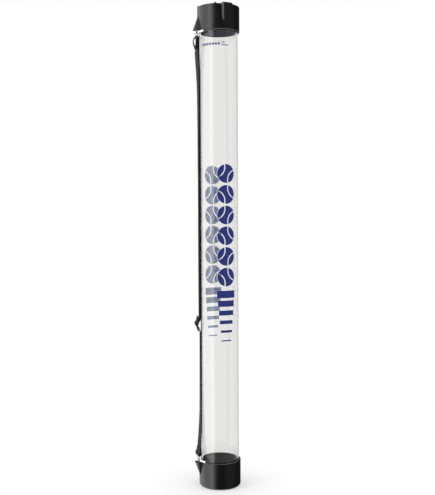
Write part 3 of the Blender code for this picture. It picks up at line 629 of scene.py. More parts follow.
# %% The shapes of a printed panel
BALL_COUNT, BALL_LOWEST, BALL_PITCH = 6, 0.4235, 0.0405
BAR_COUNT, BAR_TOP, BAR_PITCH = 6, 0.3965, 0.0195
BAR_HALF, BAR_DEPTH, BAR_TAPER = 0.0190, 0.0145, 0.55


def panel_shapes():
    """Navy and white shapes of one panel, as flat grids around the panel's middle.

    Each bar under the balls is a little less deep and less wide than the one above.
    """
    navy, white = [], []
    for k in range(BALL_COUNT):
        height = BALL_LOWEST + k * BALL_PITCH
        navy += ball_print(height, BALL_TILT * (-1) ** k)
        white.append(ring_print(height))
    for k in range(BAR_COUNT):
        top, gone = BAR_TOP - k * BAR_PITCH, k / BAR_COUNT
        half = BAR_HALF * (1 - BAR_TAPER * gone)
        navy.append(level_bar(-half, half, top - BAR_DEPTH * (1 - gone), top))
    return navy, white


# %% The two printed panels
PANEL_AZIMUTH = 4.0


def printed(name, shapes, material, azimuth, lift=INK_LIFT, thickness=INK_THICKNESS):
    """One ink coat on the tube, made of many flat shapes."""
    made = mesh_object(name, [layer for flat in shapes for layer in coat(flat, azimuth, lift, thickness)])
    finished(made, material, "root", "print_ink")


def print_panel(name, azimuth):
    """One panel: a pale coat under the navy, the navy, and the white lines over it."""
    navy, white = panel_shapes()
    printed(name + "_under", navy, PALE, azimuth, UNDER_LIFT, UNDER_THICKNESS)
    printed(name + "_navy", navy, NAVY, azimuth)
    printed(name + "_white", white, WHITE, azimuth, INK_LIFT + INK_THICKNESS / 2)


print_panel("front_print", PANEL_AZIMUTH)
print_panel("back_print", PANEL_AZIMUTH + 180)

# %% The small row near the mouth and the band inside the collar
ROW_AZIMUTH, ROW_HEIGHT = -24.0, 0.8765
ROW_START, ROW_PITCH, ROW_COUNT, ROW_SIZE = -0.0300, 0.0058, 7, 0.135
BAND_AZIMUTH, BAND_HALF, BAND_FROM_RIM, BAND_FROM_END = 162.0, 0.0290, 0.0012, 0.0010

# left, right, low and high edge of each dash
DASHES = [(0.0100, 0.0165, 0.8785, 0.8803), (0.0100, 0.0240, 0.8736, 0.8752)]


def small_row():
    """Small balls in a row, then two dashes of different length."""
    shapes = []
    for k in range(ROW_COUNT):
        shapes += ball_print(ROW_HEIGHT, BALL_TILT * (-1) ** k, ROW_START + k * ROW_PITCH, ROW_SIZE)
    return shapes + [level_bar(*dash) for dash in DASHES]


printed("row_print_navy", small_row(), NAVY, ROW_AZIMUTH)
band = level_bar(-BAND_HALF, BAND_HALF, collar_bottom + BAND_FROM_RIM, tube_top - BAND_FROM_END)
printed("band_print_navy", [band], NAVY, BAND_AZIMUTH)

# %% [markdown]
# ## The caps
#
# Both caps are injection mouldings. The base cap is a closed cup. The mouth collar is a ring that
# grips the tube's top and carries the petals. Their rims are rounded, which draws the thin light line
# that shows along each rim. Each cap has a hollow ramp on its strap side, with a pierced web inside
# for the hook. The ramp is a loft between a wide end and a tip, joined on by a Boolean. The rounded
# edges are drawn into the turned profiles. A Bevel modifier could round them instead, but it would
# also work on the short edges that a Boolean leaves.

# %% Turned cups and rings
RIM_RADIUS = 0.0009
BASE_EDGE = 0.005
BASE_FLOOR = 0.004


def base_cup_profile():
    """Outline from the middle of the underside, up the outside, over the rim and down the bore."""
    foot = arc((CAP_RADIUS - BASE_EDGE, BASE_EDGE), BASE_EDGE, -90, 0, 12)
    lip = arc((CAP_RADIUS - RIM_RADIUS, base_top - RIM_RADIUS), RIM_RADIUS, 0, 90, 6)
    inner_lip = arc((cap_bore + RIM_RADIUS / 2, base_top - RIM_RADIUS / 2), RIM_RADIUS / 2, 90, 180, 4)
    return joined((0.0, 0.0), foot, lip, inner_lip, (cap_bore, BASE_FLOOR), (0.0, BASE_FLOOR))


def collar_profile():
    """Skirt over the tube, an inward ledge on the tube's end, and a flat top for the petals."""
    lip = arc((CAP_RADIUS - RIM_RADIUS, collar_bottom + RIM_RADIUS), RIM_RADIUS, 0, -90, 6)
    inner_lip = arc((cap_bore + RIM_RADIUS / 2, collar_bottom + RIM_RADIUS / 2), RIM_RADIUS / 2, 270, 180, 4)
    ledge = tube_top + FIT_GAP
    return closed_profile((CAP_RADIUS, collar_top), lip, inner_lip, (cap_bore, ledge),
                          (bore_radius, ledge), (bore_radius, collar_top))


# %% Hook sizes that the lug's eye follows
HOOK_RADIAL = 0.045
HOOK_ROD, HOOK_SPAN, HOOK_BEND, HOOK_NOSE = 0.0015, 0.0052, -0.004, -0.0026

# %% The ramp-shaped lug and its web
LUG_SETBACK, LUG_LENGTH = 0.003, 0.028
LUG_WALL = 0.0018
LUG_TIP, LUG_HOLLOW_TIP = 0.05, 0.36
LUG_ROUNDING, LUG_CORNER_STEPS = 0.0011, 3
LUG_SINK = 0.0007
WEB_HALF, WEB_SETBACK, WEB_LENGTH = 0.0015, 0.0006, 0.0125
WEB_EYE_LENGTH, WEB_EYE_WIDTH = 0.0052, 0.0046

# half width, and rise over the cap's wall, at the foot, the shoulder and the crest
LUG_SECTION = [(0.012, 0.0), (0.0095, 0.0063), (0.006, 0.0098)]

# the eye's far end stands where the hook's bend, seen from the web's two faces, has its seat
hook_seat = HOOK_BEND - math.sqrt((HOOK_SPAN - HOOK_ROD) ** 2 - WEB_HALF ** 2) + FIT_GAP
web_eye_centre = WEB_EYE_LENGTH / 2 - hook_seat - LUG_SETBACK
print("the web's eye is centred", round(web_eye_centre, 4), "from the lug's wide end")


# %% The ramp's sections and loft
def cut_corners(outline, radius):
    """Open outline whose inner corners become short quadratic curves of about a radius."""
    rows = [outline[0]]
    for before, corner, after in zip(outline[:-2], outline[1:-1], outline[2:]):
        into, out = before - corner, after - corner
        reach = min(radius, np.linalg.norm(into) / 2, np.linalg.norm(out) / 2)
        start = corner + into / np.linalg.norm(into) * reach
        end = corner + out / np.linalg.norm(out) * reach
        for t in np.linspace(0, 1, LUG_CORNER_STEPS + 1):
            rows.append((1 - t) ** 2 * start + 2 * t * (1 - t) * corner + t ** 2 * end)
    return np.array(rows + [outline[-1]])


def lug_ring(share, rim, up, hollow=False):
    """Section of the ramp at a share of its full size: 1 at the wide end, 0 at the tip."""
    wall = LUG_WALL if hollow else 0.0
    root = cap_bore - FIT_GAP if hollow else cap_bore + LUG_SINK
    (foot, _), (side, side_rise), (crest, crest_rise) = LUG_SECTION
    half = np.array([(foot * share - wall, root),
                     (side * share - wall, CAP_RADIUS + side_rise * share - wall / 2),
                     (crest * share - wall / 2, CAP_RADIUS + crest_rise * share - wall)])
    outline = cut_corners(np.concatenate([half, half[::-1] * (-1, 1)]), LUG_ROUNDING * share)
    outline = np.concatenate([outline, outline[:1]])
    level = rim - up * (LUG_SETBACK + LUG_LENGTH * (1 - share))
    return np.stack([-outline[:, 1], -outline[:, 0], 0 * outline[:, 0] + level], -1)


def lug_loft(name, near, far, rim, up, hollow=False):
    """Loft between the ramp's sections at two shares."""
    shares = np.linspace(near, far, 9)
    return mesh_object(name, [capped(np.stack([lug_ring(s, rim, up, hollow) for s in shares]))])


# %% A cap with its lug
def prism(name, outline, placed, half):
    """Solid between two copies of a closed (along, radial) outline, half to each side."""
    rows = [[placed(along, radial, across) for along, radial in outline] for across in (-half, half)]
    return mesh_object(name, [capped(np.array(rows))])


def with_lug(cap, rim, up, tip):
    """Joins the hollow ramp and its pierced web to a cap; tip is the smallest share used."""
    def placed(along, radial, across):
        return -radial, -across, rim - up * (LUG_SETBACK + along)

    shell = lug_loft("lug_shell", 1.0, tip, rim, up)
    hollow_tip = max(LUG_HOLLOW_TIP, tip + LUG_WALL / LUG_LENGTH)
    hollow = lug_loft("lug_hollow", 1.0 + LUG_SETBACK / LUG_LENGTH / 2, hollow_tip, rim, up, True)
    combined(shell, [hollow], 'DIFFERENCE')
    crest = [CAP_RADIUS + LUG_SECTION[2][1] * (1 - along / LUG_LENGTH) - LUG_WALL / 2
             for along in (WEB_SETBACK, WEB_LENGTH)]
    root = (cap_bore + CAP_RADIUS) / 2
    web = prism("lug_web", closed_profile((WEB_SETBACK, root), (WEB_SETBACK, crest[0]),
                                          (WEB_LENGTH, crest[1]), (WEB_LENGTH, root)), placed, WEB_HALF)
    eye = circle(0.5) * (WEB_EYE_LENGTH, WEB_EYE_WIDTH) + (web_eye_centre, HOOK_RADIAL)
    combined(web, [prism("lug_eye", eye, placed, 2 * WEB_HALF)], 'DIFFERENCE')
    combined(cap, [shell, web], 'UNION')


# %% Base cap and mouth collar
base = mesh_object("base_moulding", [turned(base_cup_profile())])
with_lug(base, base_top, 1, LUG_TIP)
finished(base, CAP_BLACK, "root", "black_plastic", "base_cap")
collar = mesh_object("collar_moulding", [turned(collar_profile())])
collar_tip = 1 - (collar_top - collar_bottom - LUG_SETBACK) / LUG_LENGTH
with_lug(collar, collar_bottom, -1, collar_tip)
finished(collar, CAP_BLACK, "root", "black_plastic", "mouth_collar")
print("caps:", len(base.data.vertices), len(collar.data.vertices), "points")

# %% [markdown]
# ## The petals of the mouth
#
# The mouth is slit so that its wall can spring apart over a ball. A bead runs round the inside of each
# petal and stops the balls from falling out. One section, the wall with its bead, is carried round the
# axis from petal end to petal end. At the upright end a cut slants back through the wall, so the slit
# flares outwards. At the other end the outer layer is cut back to a slanted edge, so the slit shows as
# a dark recess. The petals could be sliced from one ring, but each real petal bends by itself. So each
# is a piece of its own.

# %% Petal sizes
PETAL_COUNT, PETAL_WALL, PETAL_HEIGHT = 3, 0.0033, 0.0314
BEAD_REACH, BEAD_HEIGHT, BEAD_TIP, BEAD_ROOT = 0.0069, 0.0195, 0.0014, 0.0085
BEAD_FROM, BEAD_TO = 125, 235
LEAD_IN_WALL = 0.0034
LOBE_RISE, LOBE_ARC, LOBE_RAMP = 0.0025, 25.0, 1.5
PEAK_RISE, PEAK_ARC = 0.0016, 5.0
SLIT_FLARE, SLIT_GAP, SLIT_TOP_ARC = 5.6, 0.0006, 21.3
REBATE_DEPTH = 0.0021
CUT_INNER, CUT_OUTER, CUT_SWEEP = 0.1, 0.4, 3.0
CUT_CLEAR = 0.001
FIRST_SLIT = -2.5
petal_pitch = 360.0 / PETAL_COUNT
petal_inner = CAP_RADIUS - PETAL_WALL
petal_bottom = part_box("mouth_petal_1")[0].z
petal_top = petal_bottom + PETAL_HEIGHT
slit_root_arc = SLIT_FLARE + math.degrees(SLIT_GAP / petal_inner)
petal_arc = petal_pitch - slit_root_arc
peak_station = petal_pitch - SLIT_TOP_ARC
cut_top = petal_top + 2 * LOBE_RISE
print("each petal spans", round(petal_arc, 2), "of", petal_pitch, "degrees at its root")


# %% Petal surfaces
def petal_section():
    """Closed outline of (radius, height): outer wall, rounded rim, bead and inner wall.

    Its foot rests on the collar, so that the one moulding shows no gap there.
    """
    rim = arc((CAP_RADIUS - RIM_RADIUS, petal_top - RIM_RADIUS), RIM_RADIUS, 0, 90, 5)
    bead = arc((petal_inner - BEAD_REACH + BEAD_TIP, petal_bottom + BEAD_HEIGHT), BEAD_TIP,
               BEAD_FROM, BEAD_TO, 8)
    outer = np.stack([np.full(9, CAP_RADIUS), np.linspace(collar_top, petal_top - RIM_RADIUS, 9)], -1)
    wall = [(petal_inner, height)
            for height in (petal_bottom + BEAD_ROOT, petal_bottom + BEAD_ROOT / 2, collar_top)]
    return closed_profile(outer[:-1], rim, (CAP_RADIUS - LEAD_IN_WALL, petal_top), bead, wall)


def petal_grid(start):
    """The section carried round the axis from the upright end.

    The rim rises to a lobe at the upright end and to a small peak beside the slit, with straight
    ramps between.
    """
    section = petal_section()
    ramp_end, peak_start = LOBE_ARC + LOBE_RAMP, peak_station - PEAK_ARC
    station = np.concatenate([np.linspace(-SLIT_FLARE, LOBE_ARC, 16),
                              np.linspace(ramp_end, peak_start - LOBE_RAMP, 31),
                              np.linspace(peak_start, peak_station, 5),
                              np.linspace(peak_station + LOBE_RAMP, petal_arc, 9)])[:, None]
    rise = np.interp(station, [LOBE_ARC, ramp_end, peak_start - LOBE_RAMP, peak_start, peak_station,
                               peak_station + LOBE_RAMP], [LOBE_RISE, 0.0, 0.0, PEAK_RISE, PEAK_RISE, 0.0])
    radius, height = section[None, :, 0], section[None, :, 1]
    turn = np.radians(start + station)
    lift = rise * (height > petal_top - 1.5 * RIM_RADIUS)
    return np.stack([radius * np.sin(turn), -radius * np.cos(turn), height + lift], -1)


# %% Cuts that shape the slit
def flare_cutter(start):
    """Upright prism beside the slit.

    Its working face runs from the inner wall, one flare before the start, to the outer edge at the
    start, and on a little past both.
    """
    inner, outer = direction(start - SLIT_FLARE) * petal_inner, direction(start) * CAP_RADIUS
    edge, far = outer - inner, direction(start - CUT_SWEEP * SLIT_FLARE)
    outline = closed_profile(inner - CUT_INNER * edge, outer + CUT_OUTER * edge,
                             far * (CAP_RADIUS + 2 * CUT_CLEAR), far * (petal_inner - CUT_CLEAR))
    levels = np.array([collar_top - CUT_CLEAR, cut_top])[:, None, None]
    return mesh_object("flare", [capped(outline[None] + levels * np.array([0.0, 0.0, 1.0]))])


def rebate_cutter(start):
    """Solid that takes the outer layer off, from the slanted edge to past the petal's end.

    Its near side starts at the petal's end at the root and falls back evenly with the height.
    """
    level = np.linspace(petal_bottom, cut_top, 12)
    outline = closed_profile(np.stack([np.full_like(level, CAP_RADIUS + REBATE_DEPTH), level], -1),
                             np.stack([np.full_like(level, CAP_RADIUS - REBATE_DEPTH), level[::-1]], -1))
    climb = (outline[:, 1] - petal_bottom) / PETAL_HEIGHT
    slanted = petal_arc - (SLIT_TOP_ARC - slit_root_arc) * climb
    share = np.linspace(0, 1, 17)[:, None]
    turn = np.radians(start + slanted + (petal_arc + slit_root_arc / 2 - slanted) * share)
    radius, height = outline.T
    grid = np.stack([radius * np.sin(turn), -radius * np.cos(turn), height + 0 * turn], -1)
    return mesh_object("rebate", [capped(grid)])


# %% The three petals
def make_petal(index):
    """One petal; the last one holds the ramp's tip."""
    start = FIRST_SLIT + petal_pitch * index
    name = f"petal_{index + 1}"
    petal = mesh_object(name + "_moulding", [petal_grid(start)], filled=True)
    combined(petal, [flare_cutter(start), rebate_cutter(start)], 'DIFFERENCE')
    if index == PETAL_COUNT - 1:
        tip_share = 1 - (petal_bottom - collar_bottom - LUG_SETBACK) / LUG_LENGTH
        combined(petal, [lug_loft("lug_tip", tip_share, LUG_TIP, collar_bottom, -1)], 'UNION')
    finished(petal, CAP_BLACK, None, "black_plastic", "mouth_" + name)
    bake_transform(petal)


for index in range(PETAL_COUNT):
    make_petal(index)
print("petals end at", round(petal_top + LOBE_RISE, 4))

# %% [markdown]
# ## The snap hooks
#
# Each hook is a bent nickel rod with a block at its top. A folded gate turns on a rivet in the block
# and a small spring closes it. The strap hangs on a wire eye whose headed post turns in the block.
# Rod, eye and spring are round sections swept along a path. Block and sheet are boxes with rounded
# edges. The lower hook points down and the upper one points up. Mirroring a finished hook would turn
# its faces inside out, so both come from one set of functions that place (across, along, out) of a
# clip in the world.

# %% Hook sizes
BLOCK_LOW, BLOCK_HIGH, BLOCK_EASE = 0.0022, 0.0056, 0.0006
BLOCK_FAR, BLOCK_NEAR, BLOCK_DEPTH = 0.0066, 0.0064, 0.0026
NOSE_STEP = 0.0004
PIVOT_ACROSS, PIVOT_ALONG, PIN_RADIUS = 0.0046, 0.0039, 0.0008
RIVET_INSET, RIVET_DOME, RIVET_SPREAD = 0.0004, 0.0011, 60.0
SHEET, SHEET_EASE, CHANNEL_EASE = 0.0008, 0.00035, 0.0003
GATE_GAP = 0.0012
TONGUE_DEPTH, TONGUE_OVERLAP, TONGUE_SLANT, TONGUE_CLEAR = 0.0016, 0.00105, 0.0011, 0.0009
LEVER_REACH, LEVER_HEIGHT, LEVER_DROP, LEVER_THICK = 0.0225, 0.0042, 0.0012, 0.0012
LEVER_CURVE, LEVER_TIP_LOSS, LEVER_CAP_GAP, LEVER_EASE = 1.6, 0.25, 0.0018, 0.00045
SPRING_WIRE, SPRING_RADIUS, SPRING_TURNS, SPRING_PITCH = 0.00024, 0.0015, 2, 0.00062
SPRING_STEPS, WIRE_SIDES = 24, 8
POST_RADIUS, POST_HEAD_RADIUS, POST_HEAD_HEIGHT, POST_HEAD_EASE = 0.0015, 0.0023, 0.001, 0.0004
POST_SIDES, EYE_SIDES = 32, 20
STRAP_WIDTH = 0.025
EYE_ROD, EYE_CORNER, EYE_RAIL, EYE_BAR = 0.0013, 0.0022, 0.0072, 0.0118
EYE_SPAN = STRAP_WIDTH / 2 + FIT_GAP + EYE_ROD
OUTWARD, UPWARD = (1.0, 0.0, 0.0), (0.0, 0.0, 1.0)


# %% A clip's place in the world
class Clip:
    """Places a clip's own measures in the world: across the tube, along the strap and outwards."""

    def __init__(self, prefix, rim, up):
        self.prefix, self.rim, self.up = prefix, rim, up

    def at(self, across, along, out=0.0):
        """World point, or grid of points, from three measures or arrays of them."""
        across, along, out = np.broadcast_arrays(across, along, out)
        return np.stack([-(HOOK_RADIAL + out), -across, self.rim + self.up * along], -1)

    def path(self, rows):
        """World points from rows of measures."""
        return self.at(*np.array(rows).T)

    def block(self, name, low, high, radius):
        """Rounded block between two corners."""
        return mesh_object(name, [rounded_block(self.at(*low), self.at(*high), radius)])

    def bar(self, name, start, end, radius, side):
        """Round bar between two places; side is a direction square to it."""
        return mesh_object(name, [swept(self.path([start, end]), circle(radius), side)])

    def pin_bar(self, name, low, high, radius):
        """Round bar on the gate pin's line between two distances outwards."""
        return self.bar(name, (PIVOT_ACROSS, PIVOT_ALONG, low), (PIVOT_ACROSS, PIVOT_ALONG, high),
                        radius, UPWARD)


# %% Hook body and swivel eye
def hook_body(clip):
    """Rod down, round the half circle and up to the nose; the block carries the pin and swivel."""
    bend = arc((0.0, HOOK_BEND), HOOK_SPAN, 180, 360, 28)
    path = joined((-HOOK_SPAN, PIVOT_ALONG), bend, (HOOK_SPAN, HOOK_NOSE - NOSE_STEP),
                  (HOOK_SPAN, HOOK_NOSE))
    body = mesh_object(clip.prefix + "_hook_rod", [swept(clip.path(path), circle(HOOK_ROD), OUTWARD)])
    block = clip.block("block", (-BLOCK_FAR, BLOCK_LOW, -BLOCK_DEPTH),
                       (BLOCK_NEAR, BLOCK_HIGH, BLOCK_DEPTH), BLOCK_EASE)
    combined(body, [block], 'UNION')
    pocket = BLOCK_DEPTH - SPRING_TURNS * SPRING_PITCH - 2 * SPRING_WIRE - FIT_GAP
    past = 2 * BLOCK_DEPTH
    bore = ((0.0, -1.5 * BLOCK_HIGH), (0.0, 2 * BLOCK_HIGH), POST_RADIUS + FIT_GAP / 2)
    combined(body, [clip.bar("bore", *bore, OUTWARD),
                    clip.pin_bar("pin_hole", -past, past, PIN_RADIUS + FIT_GAP / 2),
                    clip.pin_bar("pocket", pocket, past, SPRING_RADIUS + SPRING_WIRE + FIT_GAP)],
             'DIFFERENCE')
    return finished(body, NICKEL, "root", "nickel", clip.prefix + "_hook_body")


def swivel_eye(clip):
    """Wire bent to a rounded rectangle, on a post with a domed head inside the hook."""
    rows = []
    for side, along, inward, first in ((1, EYE_BAR, -EYE_CORNER, 90), (1, EYE_RAIL, EYE_CORNER, 0),
                                       (-1, EYE_RAIL, EYE_CORNER, -90), (-1, EYE_BAR, -EYE_CORNER, 180)):
        corner = (side * (EYE_SPAN - EYE_CORNER), along + inward)
        rows.append(arc(corner, EYE_CORNER, first, first - 90, 8))
    path = clip.path(np.concatenate(rows))
    eye = mesh_object(clip.prefix + "_eye_wire", [swept(path, circle(EYE_ROD, EYE_SIDES), OUTWARD, True)])
    head_top = BLOCK_LOW - FIT_GAP
    head_foot = head_top - POST_HEAD_HEIGHT
    dome = arc((POST_HEAD_RADIUS - POST_HEAD_EASE, head_foot + POST_HEAD_EASE), POST_HEAD_EASE, -90, 0, 4)
    ring = turned(joined((0.0, head_foot), dome, (POST_HEAD_RADIUS, head_top), (POST_RADIUS, head_top),
                         (POST_RADIUS, EYE_RAIL), (0.0, EYE_RAIL)), POST_SIDES)
    post = mesh_object("post", [clip.at(-ring[..., 1], ring[..., 2], -ring[..., 0])])
    combined(eye, [post], 'UNION')
    return finished(eye, NICKEL, "strap", "nickel", clip.prefix + "_swivel_eye")


# %% Gate with its thumb lever
def lever_grid(clip):
    """Thumb lever: a flat bar that curves in beside the cap, thinner in height towards its tip."""
    start = BLOCK_NEAR + GATE_GAP + SHEET / 2
    clear = CAP_RADIUS + LEVER_CAP_GAP + LEVER_THICK / 2
    tip_in = HOOK_RADIAL - math.sqrt(clear ** 2 - LEVER_REACH ** 2)
    share = np.linspace(0, 1, 25)[:, None]
    across = start + (LEVER_REACH - start) * share
    out = -tip_in * share ** LEVER_CURVE
    slope = np.gradient(out[:, 0], across[:, 0])[:, None]
    section = rounded_rectangle(LEVER_HEIGHT / 2, LEVER_THICK / 2, LEVER_EASE)
    lift = section[:, 0] * (1.0 - LEVER_TIP_LOSS * share ** 2)
    side = section[:, 1] / np.hypot(slope, 1.0)
    along = BLOCK_HIGH - LEVER_HEIGHT / 2 - LEVER_DROP * share + lift
    return capped(clip.at(across - side * slope, along, out + side))


def gate(clip):
    """Sheet folded to a channel round the block, with a tongue to the nose and the lever."""
    face = BLOCK_NEAR + GATE_GAP
    ear_in, ear_out = BLOCK_DEPTH + FIT_GAP, BLOCK_DEPTH + FIT_GAP + SHEET
    start = PIVOT_ACROSS - PIN_RADIUS - SHEET
    body = clip.block(clip.prefix + "_gate_sheet", (start, BLOCK_LOW, -ear_out),
                      (face + SHEET, BLOCK_HIGH, ear_out), SHEET_EASE)
    channel = clip.block("channel", (start - SHEET, BLOCK_LOW - SHEET, -ear_in),
                         (face, BLOCK_HIGH + SHEET, ear_in), CHANNEL_EASE)
    combined(body, [channel], 'DIFFERENCE')
    side, low, high = HOOK_SPAN - TONGUE_OVERLAP, HOOK_NOSE + FIT_GAP, BLOCK_LOW - TONGUE_CLEAR
    outline = closed_profile((side, low), (face + SHEET, low + TONGUE_SLANT), (face + SHEET, PIVOT_ALONG),
                             (face, PIVOT_ALONG), (face, high), (side, high))
    out = np.array([[-TONGUE_DEPTH], [TONGUE_DEPTH]])
    tongue = mesh_object("tongue", [clip.at(outline[:, 0], outline[:, 1], out)], filled=True)
    lever = mesh_object("lever", [lever_grid(clip)])
    combined(body, [tongue, lever], 'UNION')
    pin_holes = clip.pin_bar("pin_holes", -2 * ear_out, 2 * ear_out, PIN_RADIUS + FIT_GAP / 2)
    combined(body, [pin_holes], 'DIFFERENCE')
    return finished(body, NICKEL, clip.prefix + "_gate", "nickel", clip.prefix + "_hook_gate")


# %% Rivet and spring
def gate_pin(clip):
    """Rivet with two low domes, turned about the outward direction."""
    reach = BLOCK_DEPTH + FIT_GAP + SHEET + FIT_GAP
    dome = arc((reach - RIVET_INSET, 0.0), RIVET_DOME, 0, RIVET_SPREAD, 5)
    half = joined(dome, (reach - FIT_GAP, PIN_RADIUS))
    ring = turned(joined(half * (-1, 1), half[::-1])[:, ::-1], ROD_SIDES)
    grid = clip.at(PIVOT_ACROSS - ring[..., 0], PIVOT_ALONG + clip.up * ring[..., 1], ring[..., 2])
    made = mesh_object(clip.prefix + "_rivet", [grid])
    return finished(made, NICKEL, "root", "nickel", clip.prefix + "_gate_pin")


def gate_spring(clip):
    """Helix: the wire's centre turns about the pin and moves outwards by one pitch a turn."""
    turn = np.linspace(0, 2 * np.pi * SPRING_TURNS, SPRING_STEPS * SPRING_TURNS + 1)
    first = BLOCK_DEPTH - SPRING_TURNS * SPRING_PITCH - SPRING_WIRE
    radial = np.stack([0 * turn, np.cos(turn), np.sin(turn)], -1)
    middle = clip.at(PIVOT_ACROSS, PIVOT_ALONG, first + SPRING_PITCH * turn / (2 * np.pi))
    wire = circle(SPRING_WIRE, WIRE_SIDES)
    grid = ((middle + SPRING_RADIUS * radial)[:, None] + wire[:, :1] * radial[:, None]
            + wire[:, 1:] * np.array(OUTWARD))
    made = mesh_object(clip.prefix + "_spring_wire", [capped(grid)])
    return finished(made, NICKEL, "root", "nickel", clip.prefix + "_gate_spring")


# %% Both clips
CLIPS = [Clip("lower", base_top, 1), Clip("upper", collar_bottom, -1)]
for clip in CLIPS:
    for make in (hook_body, swivel_eye, gate, gate_pin, gate_spring):
        made = make(clip)
        print(made.name, len(made.data.vertices), "points")

# %% [markdown]
# ## The webbing strap
#
# The strap is one length of flat webbing. It is sewn round the lower eye, runs up the tube, weaves
# over the slider's middle bar, runs on to the upper eye, turns back and is sewn round the slider's
# middle bar. Webbing is stiff across its width and bends only along its length, so it is modelled
# directly: a flat rounded section carried along each stretch. A curve object with a flat profile
# could do it too, but its profile rolls where the path bends, and this one has to stay level. The
# weave is in the material and follows lengths measured on the surface.

# %% The strap's lie along the tube
STRAP_THICKNESS, LAYER_GAP = 0.0014, 0.0003
END_STAND_OFF = 0.0045

# share of the way between the caps, slip round the tube in degrees, share of END_STAND_OFF
STRAP_LIE = np.array([
    (0.033, 0.0, 0.95), (0.062, 4.2, 0.50), (0.090, 6.0, 0.16), (0.118, 7.4, 0.0),
    (0.146, 9.5, 0.0), (0.203, 12.2, 0.0), (0.259, 13.6, 0.0), (0.300, 13.6, 0.0),
    (0.346, 13.6, 0.0), (0.429, 12.4, 0.0), (0.542, 12.2, 0.0), (0.598, 13.4, 0.0),
    (0.654, 13.2, 0.0), (0.711, 12.0, 0.0), (0.767, 11.2, 0.0), (0.824, 9.4, 0.0),
    (0.852, 8.6, 0.02), (0.880, 7.0, 0.12), (0.909, 4.6, 0.36), (0.937, 1.8, 0.70),
    (0.955, 0.0, 0.95)])
INNER_STRAND = FIT_GAP + STRAP_THICKNESS / 2
OUTER_STRAND = INNER_STRAND + STRAP_THICKNESS + LAYER_GAP
WEBBING_BEND = EYE_ROD + FIT_GAP + STRAP_THICKNESS / 2


def lie_at(height):
    """Slip round the tube in degrees and distance off it, read halfway between straight and eased."""
    share = np.clip((height - base_top) / (collar_bottom - base_top), STRAP_LIE[0, 0], STRAP_LIE[-1, 0])
    i = np.clip(np.searchsorted(STRAP_LIE[:, 0], share) - 1, 0, len(STRAP_LIE) - 2)
    low, high = STRAP_LIE[i], STRAP_LIE[i + 1]
    t = (share - low[..., 0]) / (high[..., 0] - low[..., 0])
    mix = (t + t * t * (3 - 2 * t)) / 2
    slip = low[..., 1] + (high[..., 1] - low[..., 1]) * mix
    off = low[..., 2] + (high[..., 2] - low[..., 2]) * mix
    return slip, off * END_STAND_OFF


print("slip and lift at mid height:", [round(float(v), 4) for v in lie_at((base_top + collar_bottom) / 2)])


# %% The webbing and its paths
def webbing_section():
    """Flat section with full round edges, and faces a hair prouder than where the edges leave off."""
    edge = STRAP_THICKNESS / 2
    flat = STRAP_WIDTH / 2 - edge
    right, left = arc((flat, 0.0), edge, -80, 80, 8), arc((-flat, 0.0), edge, 100, 260, 8)
    x = np.linspace(flat, -flat, 13)[1:-1]
    top = np.stack([x, np.full_like(x, edge)], -1)
    return closed_profile(right, top, left, -top)


def webbing(height, depth, slip, twist, tilt):
    """Webbing grid through points given by height, distance from the axis and slip round it.

    The section's width lies level, turned by slip and twist. Its thickness points outwards and is
    tipped by tilt, so that it stays square to the path.
    """
    height, depth, slip, twist, tilt = np.broadcast_arrays(height, depth, slip, twist, tilt)
    section = webbing_section()
    around, facing, lean = np.radians(slip), np.radians(slip + twist), np.radians(tilt)
    middle = np.stack([-np.cos(around) * depth, np.sin(around) * depth, height], -1)
    width = np.stack([np.sin(facing), np.cos(facing), 0 * facing], -1)
    face = np.stack([-np.cos(facing) * np.cos(lean), np.sin(facing) * np.cos(lean), np.sin(lean)], -1)
    grid = middle[:, None] + section[None, :, :1] * width[:, None] + section[None, :, 1:] * face[:, None]
    along = np.append(0.0, np.linalg.norm(np.diff(middle, axis=0), axis=-1).cumsum())
    uv = np.stack(np.broadcast_arrays(section[:, 0], along[:, None]), -1)
    return capped(grid), np.concatenate([uv[:1], uv, uv[-1:]])


def path_tilt(path):
    """Tip of the face at each (depth, height) point: minus the change of depth over that of height."""
    step = np.gradient(path, axis=0)
    return np.degrees(np.arctan2(-step[:, 0], step[:, 1]))


def smooth_path(points, per_span):
    """Cubic curve through the points; its slope at each is half the step between the neighbours."""
    rows = np.asarray(points, float)
    rows = np.concatenate([2 * rows[:1] - rows[1:2], rows, 2 * rows[-1:] - rows[-2:-1]])
    a, b, c, d = (rows[k:len(rows) - 3 + k, None] for k in range(4))
    t = (np.arange(per_span) / per_span)[None, :, None]
    curve = (2 * b + (c - a) * t + (2 * a - 5 * b + 4 * c - d) * t ** 2
             + (3 * b - a - 3 * c + d) * t ** 3) / 2
    return np.concatenate([curve.reshape(-1, 2), rows[-2:-1]])


# %% The three long strands
STRAND_ROWS = 120

# how far a strand reaches into the webbing that it meets
STRAND_TOUCH = 0.0003
sewn_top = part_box("strap_sewn_end")[1].z
slider_low, slider_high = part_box("lower_strap")[1].z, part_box("upper_strap_inner")[0].z
loop_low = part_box("upper_strap_inner")[1].z


def strand(name, still, moving, layer, node):
    """One strand along the tube, stretching between its still end and the slider."""
    height = np.linspace(*sorted((still, moving)), STRAND_ROWS)
    slip, off = lie_at(height)
    grid, uv = webbing(height, TUBE_RADIUS + layer + off, slip, 0.0, 0.0)
    made = finished(mesh_object(name, [grid], [uv]), WEBBING, None, "black_webbing", node)
    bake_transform(made)


strand("lower_strand", sewn_top, slider_low + STRAND_TOUCH, INNER_STRAND, "lower_strap")
upper_ends = (loop_low + STRAND_TOUCH, slider_high - STRAND_TOUCH)
strand("upper_inner_strand", *upper_ends, INNER_STRAND, "upper_strap_inner")
strand("upper_outer_strand", *upper_ends, OUTER_STRAND, "upper_strap_outer")

